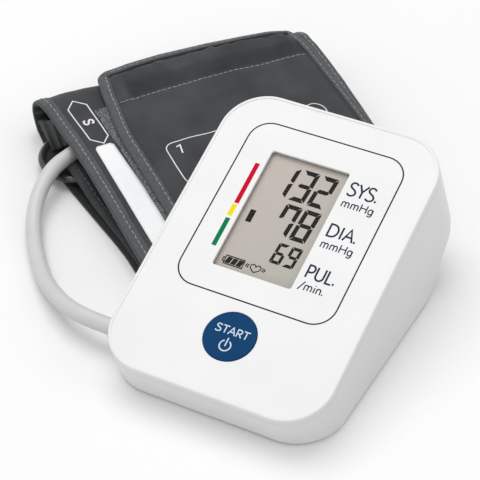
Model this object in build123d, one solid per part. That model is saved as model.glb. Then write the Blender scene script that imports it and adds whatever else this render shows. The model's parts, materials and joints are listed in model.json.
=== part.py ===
from build123d import *
import math
import os

# Upper-arm blood pressure monitor: a wedge-shaped desk unit with one button, and a D-ring arm
# cuff that lies folded behind it on an air hose. Millimetres, +Z up. The origin is the centre
# of the unit's resting base, on the table. X runs to the unit's right, Y to its rear.

# ---------------------------------------------------------------- casing
FACE_W = 100.7           # face across
FACE_L = 140.6           # face from its front edge to its rear edge, along the slope
FACE_R = 20.0            # corner radius of the face outline
FACE_TILT = 20.0         # slope of the face, degrees
FRONT_H = 19.0           # height of the face's front edge above the table
BASE_L = 102.5           # length of the flat base, front to rear
WALL_DRAFT = 1.6         # the walls widen downwards, degrees
REAR_SLOPE = 43.6        # slope under the rear of the casing, degrees
HEEL_R = 6.0             # rounding between the base and that slope
TOE_R = 1.8              # rounding round the underside
WALL = 2.2               # casing wall
EDGE_R = 0.9             # rounding round the rim of the face
RIM_W = 1.4              # raised rim round the face
RIM_H = 0.35             # height of the rim above the face panel
SEAM_DEPTH = 3.6         # the casing parts this far below the rim
SEAM_GAP = 0.2
LIP_H = 2.0              # tongue of the top case inside the bottom case
LIP_T = 1.2
FIT = 0.15               # clearance between pieces that drop or slide together
FOOT_H = 0.25            # thin rubber pads stand this far below the casing
FOOT_R = 4.5
FOOT_SUNK = 0.8
FOOT_X = 41.0
FOOT_IN = 12.0           # from the ends of the flat base to the pads

# ---------------------------------------------------------------- display
WIN_W = 36.4             # display opening
WIN_L = 59.2
WIN_X = -4.0             # its centre across the face
WIN_B = 85.1             # its centre up the face
WIN_R = 1.2
OPENING_DEPTH = 1.2      # from the face panel to the clear window
WINDOW_MARGIN = 2.2
LCD_T = 1.9
LCD_DROP = 0.25          # between the clear window and the glass
LCD_MARGIN = 3.4
HOLDER_WALL = 1.6
SHELF_W = 2.4
SHELF_T = 1.4
STRIP_W = 2.0            # rubber connector strips between the glass and the board

# ---------------------------------------------------------------- button and its switch
BUTTON_R = 11.15
BUTTON_X = 0.35
BUTTON_B = 27.4
BUTTON_GAP = 0.25
BUTTON_PROUD = 0.4
BUTTON_EDGE_R = 0.35
BUTTON_SKIN = 1.4
FLANGE_W = 1.2
FLANGE_T = 0.8
FLANGE_GAP = 0.1
BUTTON_TRAVEL = 0.6
STEM_R = 2.4
PLUNGER_R = 1.6
PLUNGER_OUT = 1.0
PLUNGER_IN = 1.2
PLUNGER_FIT = 0.08
SWITCH_SIDE = 6.2
SWITCH_H = 2.3
SWITCH_LEG = (1.4, 0.8, 0.3)

# ---------------------------------------------------------------- circuit board
BOARD_T = 1.6
BOARD_DEPTH = 7.6        # from the face panel to the board's upper side
BOARD_W = 72.0
BOARD_R = 2.0
BOARD_FROM = 13.0        # the board's ends up the face
BOARD_TO = 121.5
POST_R = 3.0
POST_X = 31.0
POST_B = (38.0, 117.0)
PCB_SCREW_R = 1.1
PCB_SCREW_L = 4.6
PCB_HEAD_R = 2.1
PCB_HEAD_T = 1.3
SENSOR_W = 10.0
SENSOR_H = 3.4
BUZZER_R = 6.0
BUZZER_H = 4.2
BUZZER_HOLE_R = 1.2
BUZZER_AT = (20.0, 62.0)
CHIP_W = 12.0
CHIP_T = 1.5
CHIP_AT = (0.0, 98.0)
CHIP_LEGS = 11           # legs on each side of the controller
CHIP_LEG = (0.4, 1.2, 0.5)

# ---------------------------------------------------------------- screws that close the casing
SCREW_X = 41.2
SCREW_AT = ((29.7, 14.0), (108.0, 34.0))     # distance up the face, depth at which the bosses meet
BOSS_R = 4.2
SCREW_R = 1.3
SCREW_PILOT = 0.05
SCREW_HEAD_R = 2.5
SCREW_HEAD_T = 1.8
SCREW_WELL_R = 2.9
SCREW_SEAT = 2.4         # plastic between the screw's head and the meeting bosses
SCREW_GRIP = 7.0         # thread in the upper boss
CROSS_L = 3.2            # cross recess in the screw's head
CROSS_W = 0.8
CROSS_DEEP = 0.9

# ---------------------------------------------------------------- pump, valve and inner tubes
PUMP_R = 12.0
PUMP_MOTOR_L = 27.0
PUMP_END_R = 5.0
PUMP_END_L = 2.0
PUMP_HEAD_L = 19.0
PUMP_HEAD_W = 20.0
PUMP_HEAD_R = 3.0
PUMP_X = -34.0           # left end of the pump's head
PUMP_B = 111.5           # the pump's axis: distance up the face, and depth below it
PUMP_DEPTH = 23.4
PUMP_SHAFT_R = 1.0
PUMP_SHAFT_L = 8.0
SADDLE_T = 2.4
SADDLE_FIT = 0.1
SADDLE_BASE = 2.4
SADDLE_SHORT = 2.0       # a saddle stops short of both ends of what it carries
VALVE_R = 7.0
VALVE_L = 17.0
VALVE_GAP = 5.0
VALVE_PORT = 6.0
VALVE_PORT_REACH = 9.0
NIPPLE_R = 1.3
NIPPLE_BORE = 0.7
NIPPLE_L = 3.0
TUBE_R = 2.4             # silicone tubes inside the unit
TUBE_FIT = 0.02
TUBE_BEND = 5.0
PORT_DROP = 4.0          # the pump's and the valve's nipples lie below their axis
MANIFOLD_W = 7.0
MANIFOLD_H = 6.0
MANIFOLD_X = -24.0
MANIFOLD_AHEAD = 32.5    # in front of the pump's axis
VALVE_TUBE_X = 24.0
SENSOR_RISE = 7.6        # from the manifold's centre to the bend under the sensor

# ---------------------------------------------------------------- batteries
CELLS = 4
CELL_R = 7.1
CELL_L = 49.2
CELL_PITCH = 14.9
CELL_END_R = 0.6
NUB_R = 2.7
NUB_L = 1.1
CELL_LIFT = 0.4          # between the cover and a cell
SPRING_WIRE = 0.4
SPRING_R = 3.6
SPRING_TIP_R = 2.0
SPRING_TURNS = 3
CONTACT_W = 9.0
CONTACT_H = 10.0
CONTACT_T = 0.4
BAY_SIDE = 1.35          # between the bay's wall and the outer cell
BAY_L = 57.0
BAY_WALL = 1.5
BAY_INSET = 0.6          # between the bay's rear end and the casing's inner surface
COVER_T = 1.8
COVER_AHEAD = 2.4        # the cover reaches this far in front of the bay
COVER_GRIP_H = 7.0       # the cover's rear end turns up the slope this far
COVER_TRAVEL = 9.0       # it slides this far before its tabs drop out of their grooves
TAB_L = 6.0
TAB_W = 1.4
TAB_T = 0.8
TABS = 3
TAB_PITCH = 19.0
TAB_FROM = 6.0           # from the cover's front edge to the first tab
GRIP_LINES = 5
GRIP_PITCH = 2.4
GRIP_W = 26.0
GRIP_GROOVE = 0.5
GRIP_FROM = 6.0          # from the heel to the first grip line

# ---------------------------------------------------------------- sockets in the left wall
SOCKET_BEHIND = 16.65    # from the front end of the base
SOCKET_Z = 12.0
SOCKET_PROUD = 0.5       # the socket's collar stands out of the wall
SOCKET_BORE_R = 3.05
SOCKET_BORE_L = 12.6
SOCKET_R = 5.2
SOCKET_L = 14.0
JACK_BEHIND = 22.0       # behind the air socket
JACK_Z = 12.0
JACK_SIDE = 9.0
JACK_L = 9.5
JACK_COLLAR_R = 3.9
JACK_BORE_R = 2.8
JACK_BORE_L = 9.5
JACK_PIN_R = 1.0
JACK_PIN_SHORT = 1.0

# ---------------------------------------------------------------- cuff
CUFF_CORNER = (-162.9, 80.4)    # far left corner of the folded cuff
CUFF_TURN = -36.7        # the folded cuff runs this way from +X, degrees
CUFF_W = 135.0           # width of the cuff, along the axis of the arm
CUFF_RUN = 126.0         # length of the flattened loop
CUFF_H = 22.0            # height at the far fold
CUFF_H_NEAR = 10.0       # height at the near end
NYLON_T = 1.2            # outer nylon
BLADDER_T = 1.4
LINING_T = 1.0
BLADDER_MARGIN = 9.0
BLADDER_SLACK = 0.1
LOOP_RUN = 64.0          # the loop is open this far, and its layers are pressed together beyond
LOOP_TIP = 11.0
NEAR_TIP = 2.5           # the near end's pressed layers end in a blunt edge, standing out this far
LIP_OUT = 7.1            # the lower layer bulges out of the mouth of the loop
LIP_AT = 40.0
LIP_FROM = 12.0
LIP_TO = 112.0
PATCH_T = 0.6            # pile fastener on the loop
PATCH_FROM = (14.0, 19.6)
PATCH_TO = (110.0, 120.0)
FLAP_T = 3.0
FLAP_LEFT = (28.5, 16.5)        # the flap's left edge, at its far end and at the near end
FLAP_RIGHT = (127.0, 131.5)     # and its right edge
FLAP_END = (3.5, 7.5)           # its far corners
FLAP_BOW = -1.8                 # its far edge bows out between them
FLAP_R = 9.0
UNIT_GAP = 3.0           # between the cuff and the unit

# ---------------------------------------------------------------- D-ring
RING_W = 40.0
RING_L = 120.0
RING_OUT = 14.4          # the ring stands out of the mouth this far
RING_FROM = 12.0         # from the far fold to the ring
RING_WIRE_R = 1.8
RING_CLEAR = 0.25

# ---------------------------------------------------------------- hose and its ends
HOSE_R = 3.7
PLUG_FLANGE_R = 5.4
PLUG_FLANGE_T = 2.4
PLUG_R = 3.0
PLUG_L = 12.0
PLUG_BORE_R = 1.4
PLUG_STAND = 0.3         # between the plug's flange and the socket
SEAL_AT = 7.0
SEAL_T = 1.6
SEAL_DEEP = 0.8
SEAL_PROUD = 0.03
PORT_R = 4.6
PORT_L = 9.0
PORT_STEM_R = 3.0
PORT_STEM_FIT = 0.2
HOSE_END_RUN = 12.4      # straight hose in front of the plug
HOSE_BENDS = [
    (-131.4, 71.5, 11.2),
    (-133.8, 58.6, 11.5),
    (-135.5, 45.4, 12.3),
    (-133.9, 31.5, 9.8),
    (-129.2, 18.2, 6.2),
    (-120.8, 5.6, 4.3),
    (-111.4, -5.6, 3.9),
    (-101.6, -15.6, 4.9),
    (-90.9, -24.0, 7.6),
    (-79.4, -30.9, 10.2),
]
RUN_SHARE = 0.45         # an arc of the hose takes this share of its shorter run

# ---------------------------------------------------------------- worked-out places
TILT = math.radians(FACE_TILT)
SLOPE = math.radians(REAR_SLOPE)
DRAFT = math.radians(WALL_DRAFT)
HEEL_Y = BASE_L / 2
SOCKET_Y = SOCKET_BEHIND - HEEL_Y
JACK_Y = SOCKET_Y + JACK_BEHIND
FACE_FRONT = -BASE_L / 2 - (FRONT_H - FOOT_H) * math.tan(TILT)
FACE = Plane(origin=(0, FACE_FRONT, FRONT_H), x_dir=(1, 0, 0), z_dir=(0, -math.sin(TILT), math.cos(TILT)))
SLOPE_IN = Plane(origin=(0, HEEL_Y - WALL * math.sin(SLOPE), FOOT_H + WALL * math.cos(SLOPE)),
                 x_dir=(1, 0, 0), z_dir=(0, -math.sin(SLOPE), math.cos(SLOPE)))
BIG = 420.0
LOW = (Align.CENTER, Align.CENTER, Align.MIN)
HIGH = (Align.CENTER, Align.CENTER, Align.MAX)

PUMP_AXIS = FACE.from_local_coords(Vector(0, PUMP_B, -PUMP_DEPTH))
PUMP_Y = PUMP_AXIS.Y
PUMP_Z = PUMP_AXIS.Z
MANIFOLD_Y = PUMP_Y - MANIFOLD_AHEAD

PANEL = -RIM_H                      # levels in the face's frame, measured from the rim
PLATE_UNDER = PANEL - WALL
WINDOW_TOP = PANEL - OPENING_DEPTH
LCD_TOP = PLATE_UNDER - LCD_DROP
LCD_UNDER = LCD_TOP - LCD_T
BOARD_TOP = PANEL - BOARD_DEPTH
BOARD_UNDER = BOARD_TOP - BOARD_T
SWITCH_TOP = BOARD_TOP + SWITCH_H
STEM_END = SWITCH_TOP + PLUNGER_OUT
LCD_W = WIN_W + 2 * LCD_MARGIN
LCD_L = WIN_L + 2 * LCD_MARGIN

BAY_W = (CELLS - 1) * CELL_PITCH + 2 * (CELL_R + BAY_SIDE)
BAY_REAR = HEEL_Y - WALL - BAY_INSET
BAY_FRONT = BAY_REAR - BAY_L
COVER_TOP = FOOT_H + COVER_T
CELL_Z = COVER_TOP + CELL_LIFT + CELL_R
BAY_TOP = CELL_Z + CELL_R + 2 * FIT
ROOF_TOP = BAY_TOP + BAY_WALL
COVER_W = BAY_W + 2 * BAY_WALL
COVER_FRONT = BAY_FRONT - COVER_AHEAD
SPRING_L = BAY_L - 2 * CONTACT_T - CELL_L - NUB_L

SHEET_T = NYLON_T + BLADDER_T + LINING_T
FOLD_R = CUFF_H / 2
CUFF_FALL = (CUFF_H - CUFF_H_NEAR) / (CUFF_RUN - FOLD_R)
CUFF = Plane(origin=(*CUFF_CORNER, 0), z_dir=(0, 0, 1),
             x_dir=(math.cos(math.radians(CUFF_TURN)), math.sin(math.radians(CUFF_TURN)), 0))


def save(shape, node):
    shape.label = node
    export_step(shape, f"parts/{node}.step")


def block(x0, x1, y0, y1, z0, z1):
    return Pos((x0 + x1) / 2, (y0 + y1) / 2, (z0 + z1) / 2) * Box(x1 - x0, y1 - y0, z1 - z0)


def rod(radius, start, end):
    """A cylinder from one point to another."""
    run = Vector(*end) - Vector(*start)
    return Plane(origin=Vector(*start), z_dir=run) * Cylinder(radius, run.length, align=LOW)


def face_block(width, length, x, b, top, bottom):
    """A block in the face's frame, between two levels."""
    return FACE * Pos(x, b, top) * Box(width, length, top - bottom, align=HIGH)


def face_rod(radius, x, b, top, bottom):
    return FACE * Pos(x, b, top) * Cylinder(radius, top - bottom, align=HIGH)


def face_plate(width, length, radius, x, b, top, bottom):
    return FACE * Pos(x, b, bottom) * extrude(RectangleRounded(width, length, radius), amount=top - bottom)


def up_face(y, z):
    """How far up the face a point of the side view lies."""
    return (y - FACE_FRONT) * math.cos(TILT) + (z - FRONT_H) * math.sin(TILT)


def wall_x(y, z):
    """Half the casing's width at a point of the side view."""
    depth = (y - FACE_FRONT) * math.sin(TILT) - (z - FRONT_H) * math.cos(TILT)
    return FACE_W / 2 + depth * math.tan(DRAFT)


def total(shapes):
    """All the shapes as one."""
    result = shapes[0]
    for shape in shapes[1:]:
        result = result + shape
    return result


def group(solids):
    """Separate solids in one node."""
    return Compound(children=solids)


# ================================================================ casing

def wedge(inset):
    """The casing's outer form with its walls and underside moved in by inset; its top is the rim."""
    outline = RectangleRounded(FACE_W - 2 * inset, FACE_L - 2 * inset, FACE_R - inset)
    prism = FACE * Pos(0, FACE_L / 2, 0) * extrude(outline, amount=-FACE_L, taper=-WALL_DRAFT)
    base = FOOT_H + inset
    heel = HEEL_Y - inset * math.tan(SLOPE / 2)
    rear_top = (heel + BIG * math.cos(SLOPE), base + BIG * math.sin(SLOPE))
    side = [(-BIG, base), (heel, base), rear_top, (-BIG, BIG)]
    profile = make_face(Polyline([(0, y, z) for y, z in side], close=True))
    corner = profile.vertices().sort_by_distance((0, heel, base))[0]
    profile = fillet(corner, HEEL_R + inset)
    return prism & extrude(profile, amount=FACE_W, both=True, dir=(1, 0, 0))


def is_rim(edge):
    return abs(FACE.to_local_coords(edge.center()).Z) < 0.01


def is_toe(edge):
    """The edges between the walls and the underside, but not those across the heel."""
    centre = edge.center()
    across_heel = abs(centre.X) < 1 and abs(centre.Y - HEEL_Y) < HEEL_R
    return edge.geom_type != GeomType.BEZIER and not is_rim(edge) and not across_heel


def outer_form():
    """The closed casing from outside."""
    form = wedge(0)
    form = fillet([e for e in form.edges() if is_toe(e)], TOE_R)
    form = fillet([e for e in form.edges() if is_rim(e)], EDGE_R)
    recess = face_plate(FACE_W - 2 * RIM_W, FACE_L - 2 * RIM_W, FACE_R - RIM_W, 0, FACE_L / 2, 1, PANEL)
    return form - recess


def below_level(level):
    return face_block(BIG, BIG, 0, FACE_L / 2, level, level - BIG)


def between_levels(top, bottom):
    return face_block(BIG, BIG, 0, FACE_L / 2, top, bottom)


OUTER = outer_form()
SHELL = OUTER - (wedge(WALL) & below_level(PLATE_UNDER))


def screw_places():
    return [(side * SCREW_X, b, meet) for b, meet in SCREW_AT for side in (-1, 1)]


def post_places():
    return [(side * POST_X, b) for side in (-1, 1) for b in POST_B]


def make_top_case():
    """The face panel with its rim, tongue, bosses and posts."""
    case = SHELL & between_levels(1, -SEAM_DEPTH)
    ring = wedge(WALL + FIT) - wedge(WALL + FIT + LIP_T)
    case += ring & between_levels(PLATE_UNDER + WALL / 2, -SEAM_DEPTH - LIP_H)
    case += total([face_rod(BOSS_R, x, b, PLATE_UNDER, -meet) for x, b, meet in screw_places()])
    case += total([face_rod(POST_R, x, b, PLATE_UNDER, BOARD_TOP) for x, b in post_places()])
    for x, b, meet in screw_places():
        case -= face_rod(SCREW_R + SCREW_PILOT, x, b, -meet + SCREW_GRIP + FIT, -meet)
    for x, b in post_places():
        case -= face_rod(PCB_SCREW_R + SCREW_PILOT, x, b, BOARD_UNDER + PCB_SCREW_L + FIT, BOARD_TOP)
    case -= face_plate(WIN_W, WIN_L, WIN_R, WIN_X, WIN_B, 1, PLATE_UNDER)
    rebate_w = WIN_W + 2 * (WINDOW_MARGIN + FIT)
    rebate_l = WIN_L + 2 * (WINDOW_MARGIN + FIT)
    case -= face_plate(rebate_w, rebate_l, WIN_R, WIN_X, WIN_B, WINDOW_TOP, PLATE_UNDER)
    case -= face_rod(BUTTON_R + BUTTON_GAP, BUTTON_X, BUTTON_B, 1, PLATE_UNDER)
    return case


def cover_space(inset):
    """The space of the battery cover, with some clearance round it."""
    side = COVER_W / 2 + inset
    high = FOOT_H + COVER_GRIP_H + inset
    return block(-side, side, COVER_FRONT - inset, HEEL_Y + BIG / 4, FOOT_H - 1, high)


def make_battery_bay():
    """Floor, ends and sides of the bay, and the wall behind the cover's turned-up end."""
    half = BAY_W / 2 + BAY_WALL
    box = block(-half, half, BAY_FRONT - BAY_WALL, BAY_REAR + BAY_WALL, FOOT_H, ROOF_TOP)
    half = COVER_W / 2 + BAY_WALL
    high = FOOT_H + COVER_GRIP_H + BAY_WALL
    backing = block(-half, half, COVER_FRONT - BAY_WALL, HEEL_Y + BIG / 4, FOOT_H, high)
    backing = backing - wedge(COVER_T + FIT + BAY_WALL)
    return (box + backing) & OUTER


def tab_starts():
    return [COVER_FRONT + TAB_FROM + i * TAB_PITCH for i in range(TABS)]


def tab_block(y0, y1, clearance, bottom):
    """A bar across the cover's width in which its side tabs, or their grooves, lie."""
    half = COVER_W / 2 + TAB_W + clearance
    top = COVER_TOP - (COVER_T - TAB_T) / 2 + clearance
    return block(-half, half, y0 - clearance, y1 + clearance, bottom, top)


def tab_bottom():
    return FOOT_H + (COVER_T - TAB_T) / 2


def wall_hole(radius, y, z):
    """A hole through the left wall."""
    return rod(radius, (-FACE_W, y, z), (-wall_x(y, z) + 2 * WALL, y, z))


def make_bottom_case():
    """The deep shell with the battery bay, screw wells, and seats for the sockets."""
    case = SHELL & below_level(-SEAM_DEPTH - SEAM_GAP)
    case += make_battery_bay()
    for x, b, meet in screw_places():
        case += face_rod(BOSS_R, x, b, -meet, -FACE_L) & OUTER
    outside = -wall_x(JACK_Y, JACK_Z)
    half = JACK_SIDE / 2
    case += block(outside + WALL / 2, outside + WALL + JACK_L, JACK_Y - half, JACK_Y + half,
                  FOOT_H + WALL / 2, JACK_Z - half - FIT)
    for x, b, meet in screw_places():
        case -= face_rod(SCREW_R + FIT, x, b, -meet, -FACE_L)
        case -= face_rod(SCREW_WELL_R, x, b, -meet - SCREW_SEAT, -FACE_L)
    case -= block(-BAY_W / 2, BAY_W / 2, BAY_FRONT, BAY_REAR, FOOT_H - 1, BAY_TOP)
    case -= cover_space(FIT) - wedge(COVER_T + FIT)
    for y0 in tab_starts():
        case -= tab_block(y0, y0 + TAB_L + COVER_TRAVEL, FIT, tab_bottom() - FIT)
        case -= tab_block(y0 + COVER_TRAVEL, y0 + TAB_L + COVER_TRAVEL, FIT, FOOT_H - 1)
    for side in (-1, 1):
        for y in foot_places():
            case -= Pos(side * FOOT_X, y, FOOT_H) * Cylinder(FOOT_R + FIT, 2 * FOOT_SUNK)
    case -= wall_hole(SOCKET_R + FIT, SOCKET_Y, SOCKET_Z)
    return case - wall_hole(JACK_COLLAR_R + FIT, JACK_Y, JACK_Z)


def make_battery_cover():
    """The plate over the bay: its rear end turns up the slope, with tabs at its sides and grip lines."""
    cover = (OUTER & cover_space(0)) - wedge(COVER_T)
    for y0 in tab_starts():
        cover += tab_block(y0, y0 + TAB_L, 0, tab_bottom())
    for i in range(GRIP_LINES):
        y = HEEL_Y - GRIP_FROM - i * GRIP_PITCH
        cover -= Pos(0, y, FOOT_H) * Rot(0, 90, 0) * Cylinder(GRIP_GROOVE, GRIP_W)
    return cover


def foot_places():
    return (FOOT_IN - HEEL_Y, HEEL_Y - FOOT_IN)


def make_rubber_feet():
    foot = Cylinder(FOOT_R, FOOT_H + FOOT_SUNK, align=LOW)
    foot = fillet(foot.edges().group_by(Axis.Z)[0], FOOT_H / 2)
    return group([Pos(side * FOOT_X, y, 0) * foot for side in (-1, 1) for y in foot_places()])


def make_case_screws():
    """Four cross-head screws, driven up from the underside."""
    screws = []
    for x, b, meet in screw_places():
        seat = -meet - SCREW_SEAT
        head = seat - SCREW_HEAD_T
        screw = face_rod(SCREW_R, x, b, -meet + SCREW_GRIP, seat) + face_rod(SCREW_HEAD_R, x, b, seat, head)
        screw -= face_block(CROSS_L, CROSS_W, x, b, head + CROSS_DEEP, head - 1)
        screw -= face_block(CROSS_W, CROSS_L, x, b, head + CROSS_DEEP, head - 1)
        screws.append(screw)
    return group(screws)


# ================================================================ display, button and board

def make_display_window():
    plate_w = WIN_W + 2 * WINDOW_MARGIN
    plate_l = WIN_L + 2 * WINDOW_MARGIN
    return face_plate(plate_w, plate_l, WIN_R, WIN_X, WIN_B, WINDOW_TOP, PLATE_UNDER)


def make_lcd_panel():
    return face_block(LCD_W, LCD_L, WIN_X, WIN_B, LCD_TOP, LCD_UNDER)


def make_lcd_holder():
    """A frame that stands on the board and carries the glass on a shelf."""
    around = 2 * (FIT + HOLDER_WALL)
    frame = face_block(LCD_W + around, LCD_L + around, WIN_X, WIN_B, PLATE_UNDER - FIT, BOARD_TOP)
    frame -= face_block(LCD_W + 2 * FIT, LCD_L + 2 * FIT, WIN_X, WIN_B, 0, LCD_UNDER)
    frame -= face_block(LCD_W - 2 * SHELF_W, LCD_L - 2 * SHELF_W, WIN_X, WIN_B, 0, BOARD_TOP)
    frame -= face_block(LCD_W + 2 * FIT, LCD_L + 2 * FIT, WIN_X, WIN_B, LCD_UNDER - SHELF_T, BOARD_TOP)
    return frame


def make_connector_strips():
    """Conductive rubber strips along both long sides of the glass, just inside the shelf."""
    offset = LCD_W / 2 - SHELF_W - STRIP_W / 2 - FIT
    length = LCD_L - 2 * SHELF_W - 2 * STRIP_W
    places = [WIN_X - offset, WIN_X + offset]
    return group([face_block(STRIP_W, length, x, WIN_B, LCD_UNDER, BOARD_TOP) for x in places])


def make_start_button():
    """A round cap, hollow below, with a flange under the panel and a stem to the switch."""
    top = PANEL + BUTTON_PROUD
    shoulder = PLATE_UNDER - FLANGE_GAP
    inner = BUTTON_R - BUTTON_SKIN
    points = [(0, top), (BUTTON_R, top), (BUTTON_R, shoulder), (BUTTON_R + FLANGE_W, shoulder),
              (BUTTON_R + FLANGE_W, shoulder - FLANGE_T), (inner, shoulder - FLANGE_T),
              (inner, top - BUTTON_SKIN), (STEM_R, top - BUTTON_SKIN), (STEM_R, STEM_END), (0, STEM_END)]
    profile = make_face(Polyline([(r, 0, z) for r, z in points], close=True))
    cap = revolve(profile, Axis.Z)
    cap = fillet(cap.edges().group_by(Axis.Z)[-1], BUTTON_EDGE_R)
    return FACE * Pos(BUTTON_X, BUTTON_B, 0) * cap


def make_switch_plunger():
    return face_rod(PLUNGER_R, BUTTON_X, BUTTON_B, STEM_END, SWITCH_TOP - PLUNGER_IN)


def make_start_switch():
    """A push switch on the board, with a leg at each corner."""
    switch = face_block(SWITCH_SIDE, SWITCH_SIDE, BUTTON_X, BUTTON_B, SWITCH_TOP, BOARD_TOP)
    bore_end = SWITCH_TOP - PLUNGER_IN - BUTTON_TRAVEL - FIT
    switch -= face_rod(PLUNGER_R + PLUNGER_FIT, BUTTON_X, BUTTON_B, SWITCH_TOP, bore_end)
    leg_l, leg_w, leg_t = SWITCH_LEG
    for side in (-1, 1):
        for end in (-1, 1):
            x = BUTTON_X + side * (SWITCH_SIDE + leg_l) / 2
            b = BUTTON_B + end * (SWITCH_SIDE / 2 - leg_w)
            switch += face_block(leg_l, leg_w, x, b, BOARD_TOP + leg_t, BOARD_TOP)
    return switch


def make_circuit_board():
    middle = (BOARD_FROM + BOARD_TO) / 2
    board = face_plate(BOARD_W, BOARD_TO - BOARD_FROM, BOARD_R, 0, middle, BOARD_TOP, BOARD_UNDER)
    for x, b in post_places():
        board -= face_rod(PCB_SCREW_R + FIT, x, b, BOARD_TOP, BOARD_UNDER)
    return board


def make_board_screws():
    screws = []
    for x, b in post_places():
        shank = face_rod(PCB_SCREW_R, x, b, BOARD_UNDER + PCB_SCREW_L, BOARD_UNDER)
        head = face_rod(PCB_HEAD_R, x, b, BOARD_UNDER, BOARD_UNDER - PCB_HEAD_T)
        screws.append(shank + head)
    return group(screws)


def make_buzzer():
    x, b = BUZZER_AT
    buzzer = face_rod(BUZZER_R, x, b, BOARD_UNDER, BOARD_UNDER - BUZZER_H)
    return buzzer - face_rod(BUZZER_HOLE_R, x, b, BOARD_UNDER - BUZZER_H / 2, BOARD_UNDER - BUZZER_H)


def make_controller_chip():
    """The controller under the board, with a row of legs on each side."""
    x, b = CHIP_AT
    leg_w, leg_l, leg_t = CHIP_LEG
    chip = face_block(CHIP_W, CHIP_W, x, b, BOARD_UNDER, BOARD_UNDER - CHIP_T)
    pitch = CHIP_W / (CHIP_LEGS + 1)
    for i in range(CHIP_LEGS):
        along = (i - (CHIP_LEGS - 1) / 2) * pitch
        chip += face_block(CHIP_W + 2 * leg_l, leg_w, x, b + along, BOARD_UNDER, BOARD_UNDER - leg_t)
    return chip


# ================================================================ pump, valve and inner tubes

def nipple(base, direction):
    """A spigot standing on a face."""
    start = Vector(*base)
    way = Vector(*direction).normalized()
    return rod(NIPPLE_R, start - way * NIPPLE_L / 4, start + way * NIPPLE_L)


def nipple_hole(base, direction):
    start = Vector(*base)
    way = Vector(*direction).normalized()
    return rod(NIPPLE_BORE, start - way * NIPPLE_L / 4, start + way * (NIPPLE_L + 1))


def with_nipples(body, places):
    for base, direction in places:
        body += nipple(base, direction)
    for base, direction in places:
        body -= nipple_hole(base, direction)
    return body


MOTOR_X = PUMP_X + PUMP_HEAD_L
VALVE_X = MOTOR_X + PUMP_MOTOR_L + VALVE_GAP
PORT_Z = PUMP_Z - PORT_DROP
MANIFOLD_Z = ROOF_TOP + MANIFOLD_H / 2
PUMP_PORT = (MANIFOLD_X, PUMP_Y - PUMP_HEAD_W / 2, PORT_Z)
VALVE_PORT_AT = (VALVE_TUBE_X, PUMP_Y - VALVE_PORT_REACH, PORT_Z)
SENSOR_B = up_face(MANIFOLD_Y, MANIFOLD_Z + SENSOR_RISE)
SENSOR_PORT = tuple(FACE.from_local_coords(Vector(MANIFOLD_X, SENSOR_B, BOARD_UNDER - SENSOR_H)))
SOCKET_FACE = -wall_x(SOCKET_Y, SOCKET_Z) - SOCKET_PROUD
SOCKET_IN = (SOCKET_FACE + SOCKET_L, SOCKET_Y, SOCKET_Z)


def make_pump_motor():
    motor = rod(PUMP_R, (MOTOR_X, PUMP_Y, PUMP_Z), (MOTOR_X + PUMP_MOTOR_L, PUMP_Y, PUMP_Z))
    motor = fillet(motor.edges().group_by(Axis.X)[-1], SADDLE_T / 2)
    motor_end = MOTOR_X + PUMP_MOTOR_L
    motor += rod(PUMP_END_R, (motor_end, PUMP_Y, PUMP_Z), (motor_end + PUMP_END_L, PUMP_Y, PUMP_Z))
    return motor + rod(PUMP_SHAFT_R, (MOTOR_X - PUMP_SHAFT_L, PUMP_Y, PUMP_Z), (MOTOR_X, PUMP_Y, PUMP_Z))


def make_pump_head():
    """The diaphragm housing on the motor's end."""
    half = PUMP_HEAD_W / 2
    head = block(PUMP_X, MOTOR_X, PUMP_Y - half, PUMP_Y + half, PUMP_Z - half, PUMP_Z + half)
    head = fillet(head.edges().filter_by(Axis.X), PUMP_HEAD_R)
    bore_end = (MOTOR_X - PUMP_SHAFT_L - FIT, PUMP_Y, PUMP_Z)
    head -= rod(PUMP_SHAFT_R + SADDLE_FIT, bore_end, (MOTOR_X, PUMP_Y, PUMP_Z))
    return with_nipples(head, [(PUMP_PORT, (0, -1, 0))])


def make_exhaust_valve():
    valve = rod(VALVE_R, (VALVE_X, PUMP_Y, PUMP_Z), (VALVE_X + VALVE_L, PUMP_Y, PUMP_Z))
    half = VALVE_PORT / 2
    valve += block(VALVE_TUBE_X - half, VALVE_TUBE_X + half, PUMP_Y - VALVE_PORT_REACH, PUMP_Y,
                   PORT_Z - half, PORT_Z + half)
    return with_nipples(valve, [(VALVE_PORT_AT, (0, -1, 0))])


def make_pump_cradle():
    """Two saddles on a common base, on the inner side of the rear slope."""
    axis = SLOPE_IN.to_local_coords(Vector(0, PUMP_Y, PUMP_Z))
    seats = [(PUMP_R, MOTOR_X + SADDLE_SHORT, MOTOR_X + PUMP_MOTOR_L - SADDLE_SHORT),
             (VALVE_R, VALVE_X + SADDLE_SHORT, VALVE_X + VALVE_L - SADDLE_SHORT)]
    first = seats[0][1]
    last = seats[-1][2]
    widest = 2 * (PUMP_R + SADDLE_T)
    cradle = SLOPE_IN * Pos((first + last) / 2, axis.Y, 0) * Box(last - first, widest, SADDLE_BASE, align=LOW)
    for radius, start, end in seats:
        width = 2 * (radius + SADDLE_T)
        cradle += SLOPE_IN * Pos((start + end) / 2, axis.Y, 0) * Box(end - start, width, axis.Z, align=LOW)
    for radius, start, end in seats:
        cradle -= rod(radius + SADDLE_FIT, (start - 1, PUMP_Y, PUMP_Z), (end + 1, PUMP_Y, PUMP_Z))
    half = VALVE_PORT / 2 + FIT
    return cradle - block(VALVE_TUBE_X - half, VALVE_TUBE_X + half, PUMP_Y - BIG / 4, PUMP_Y,
                          PORT_Z - half, PORT_Z + BIG / 4)


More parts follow.
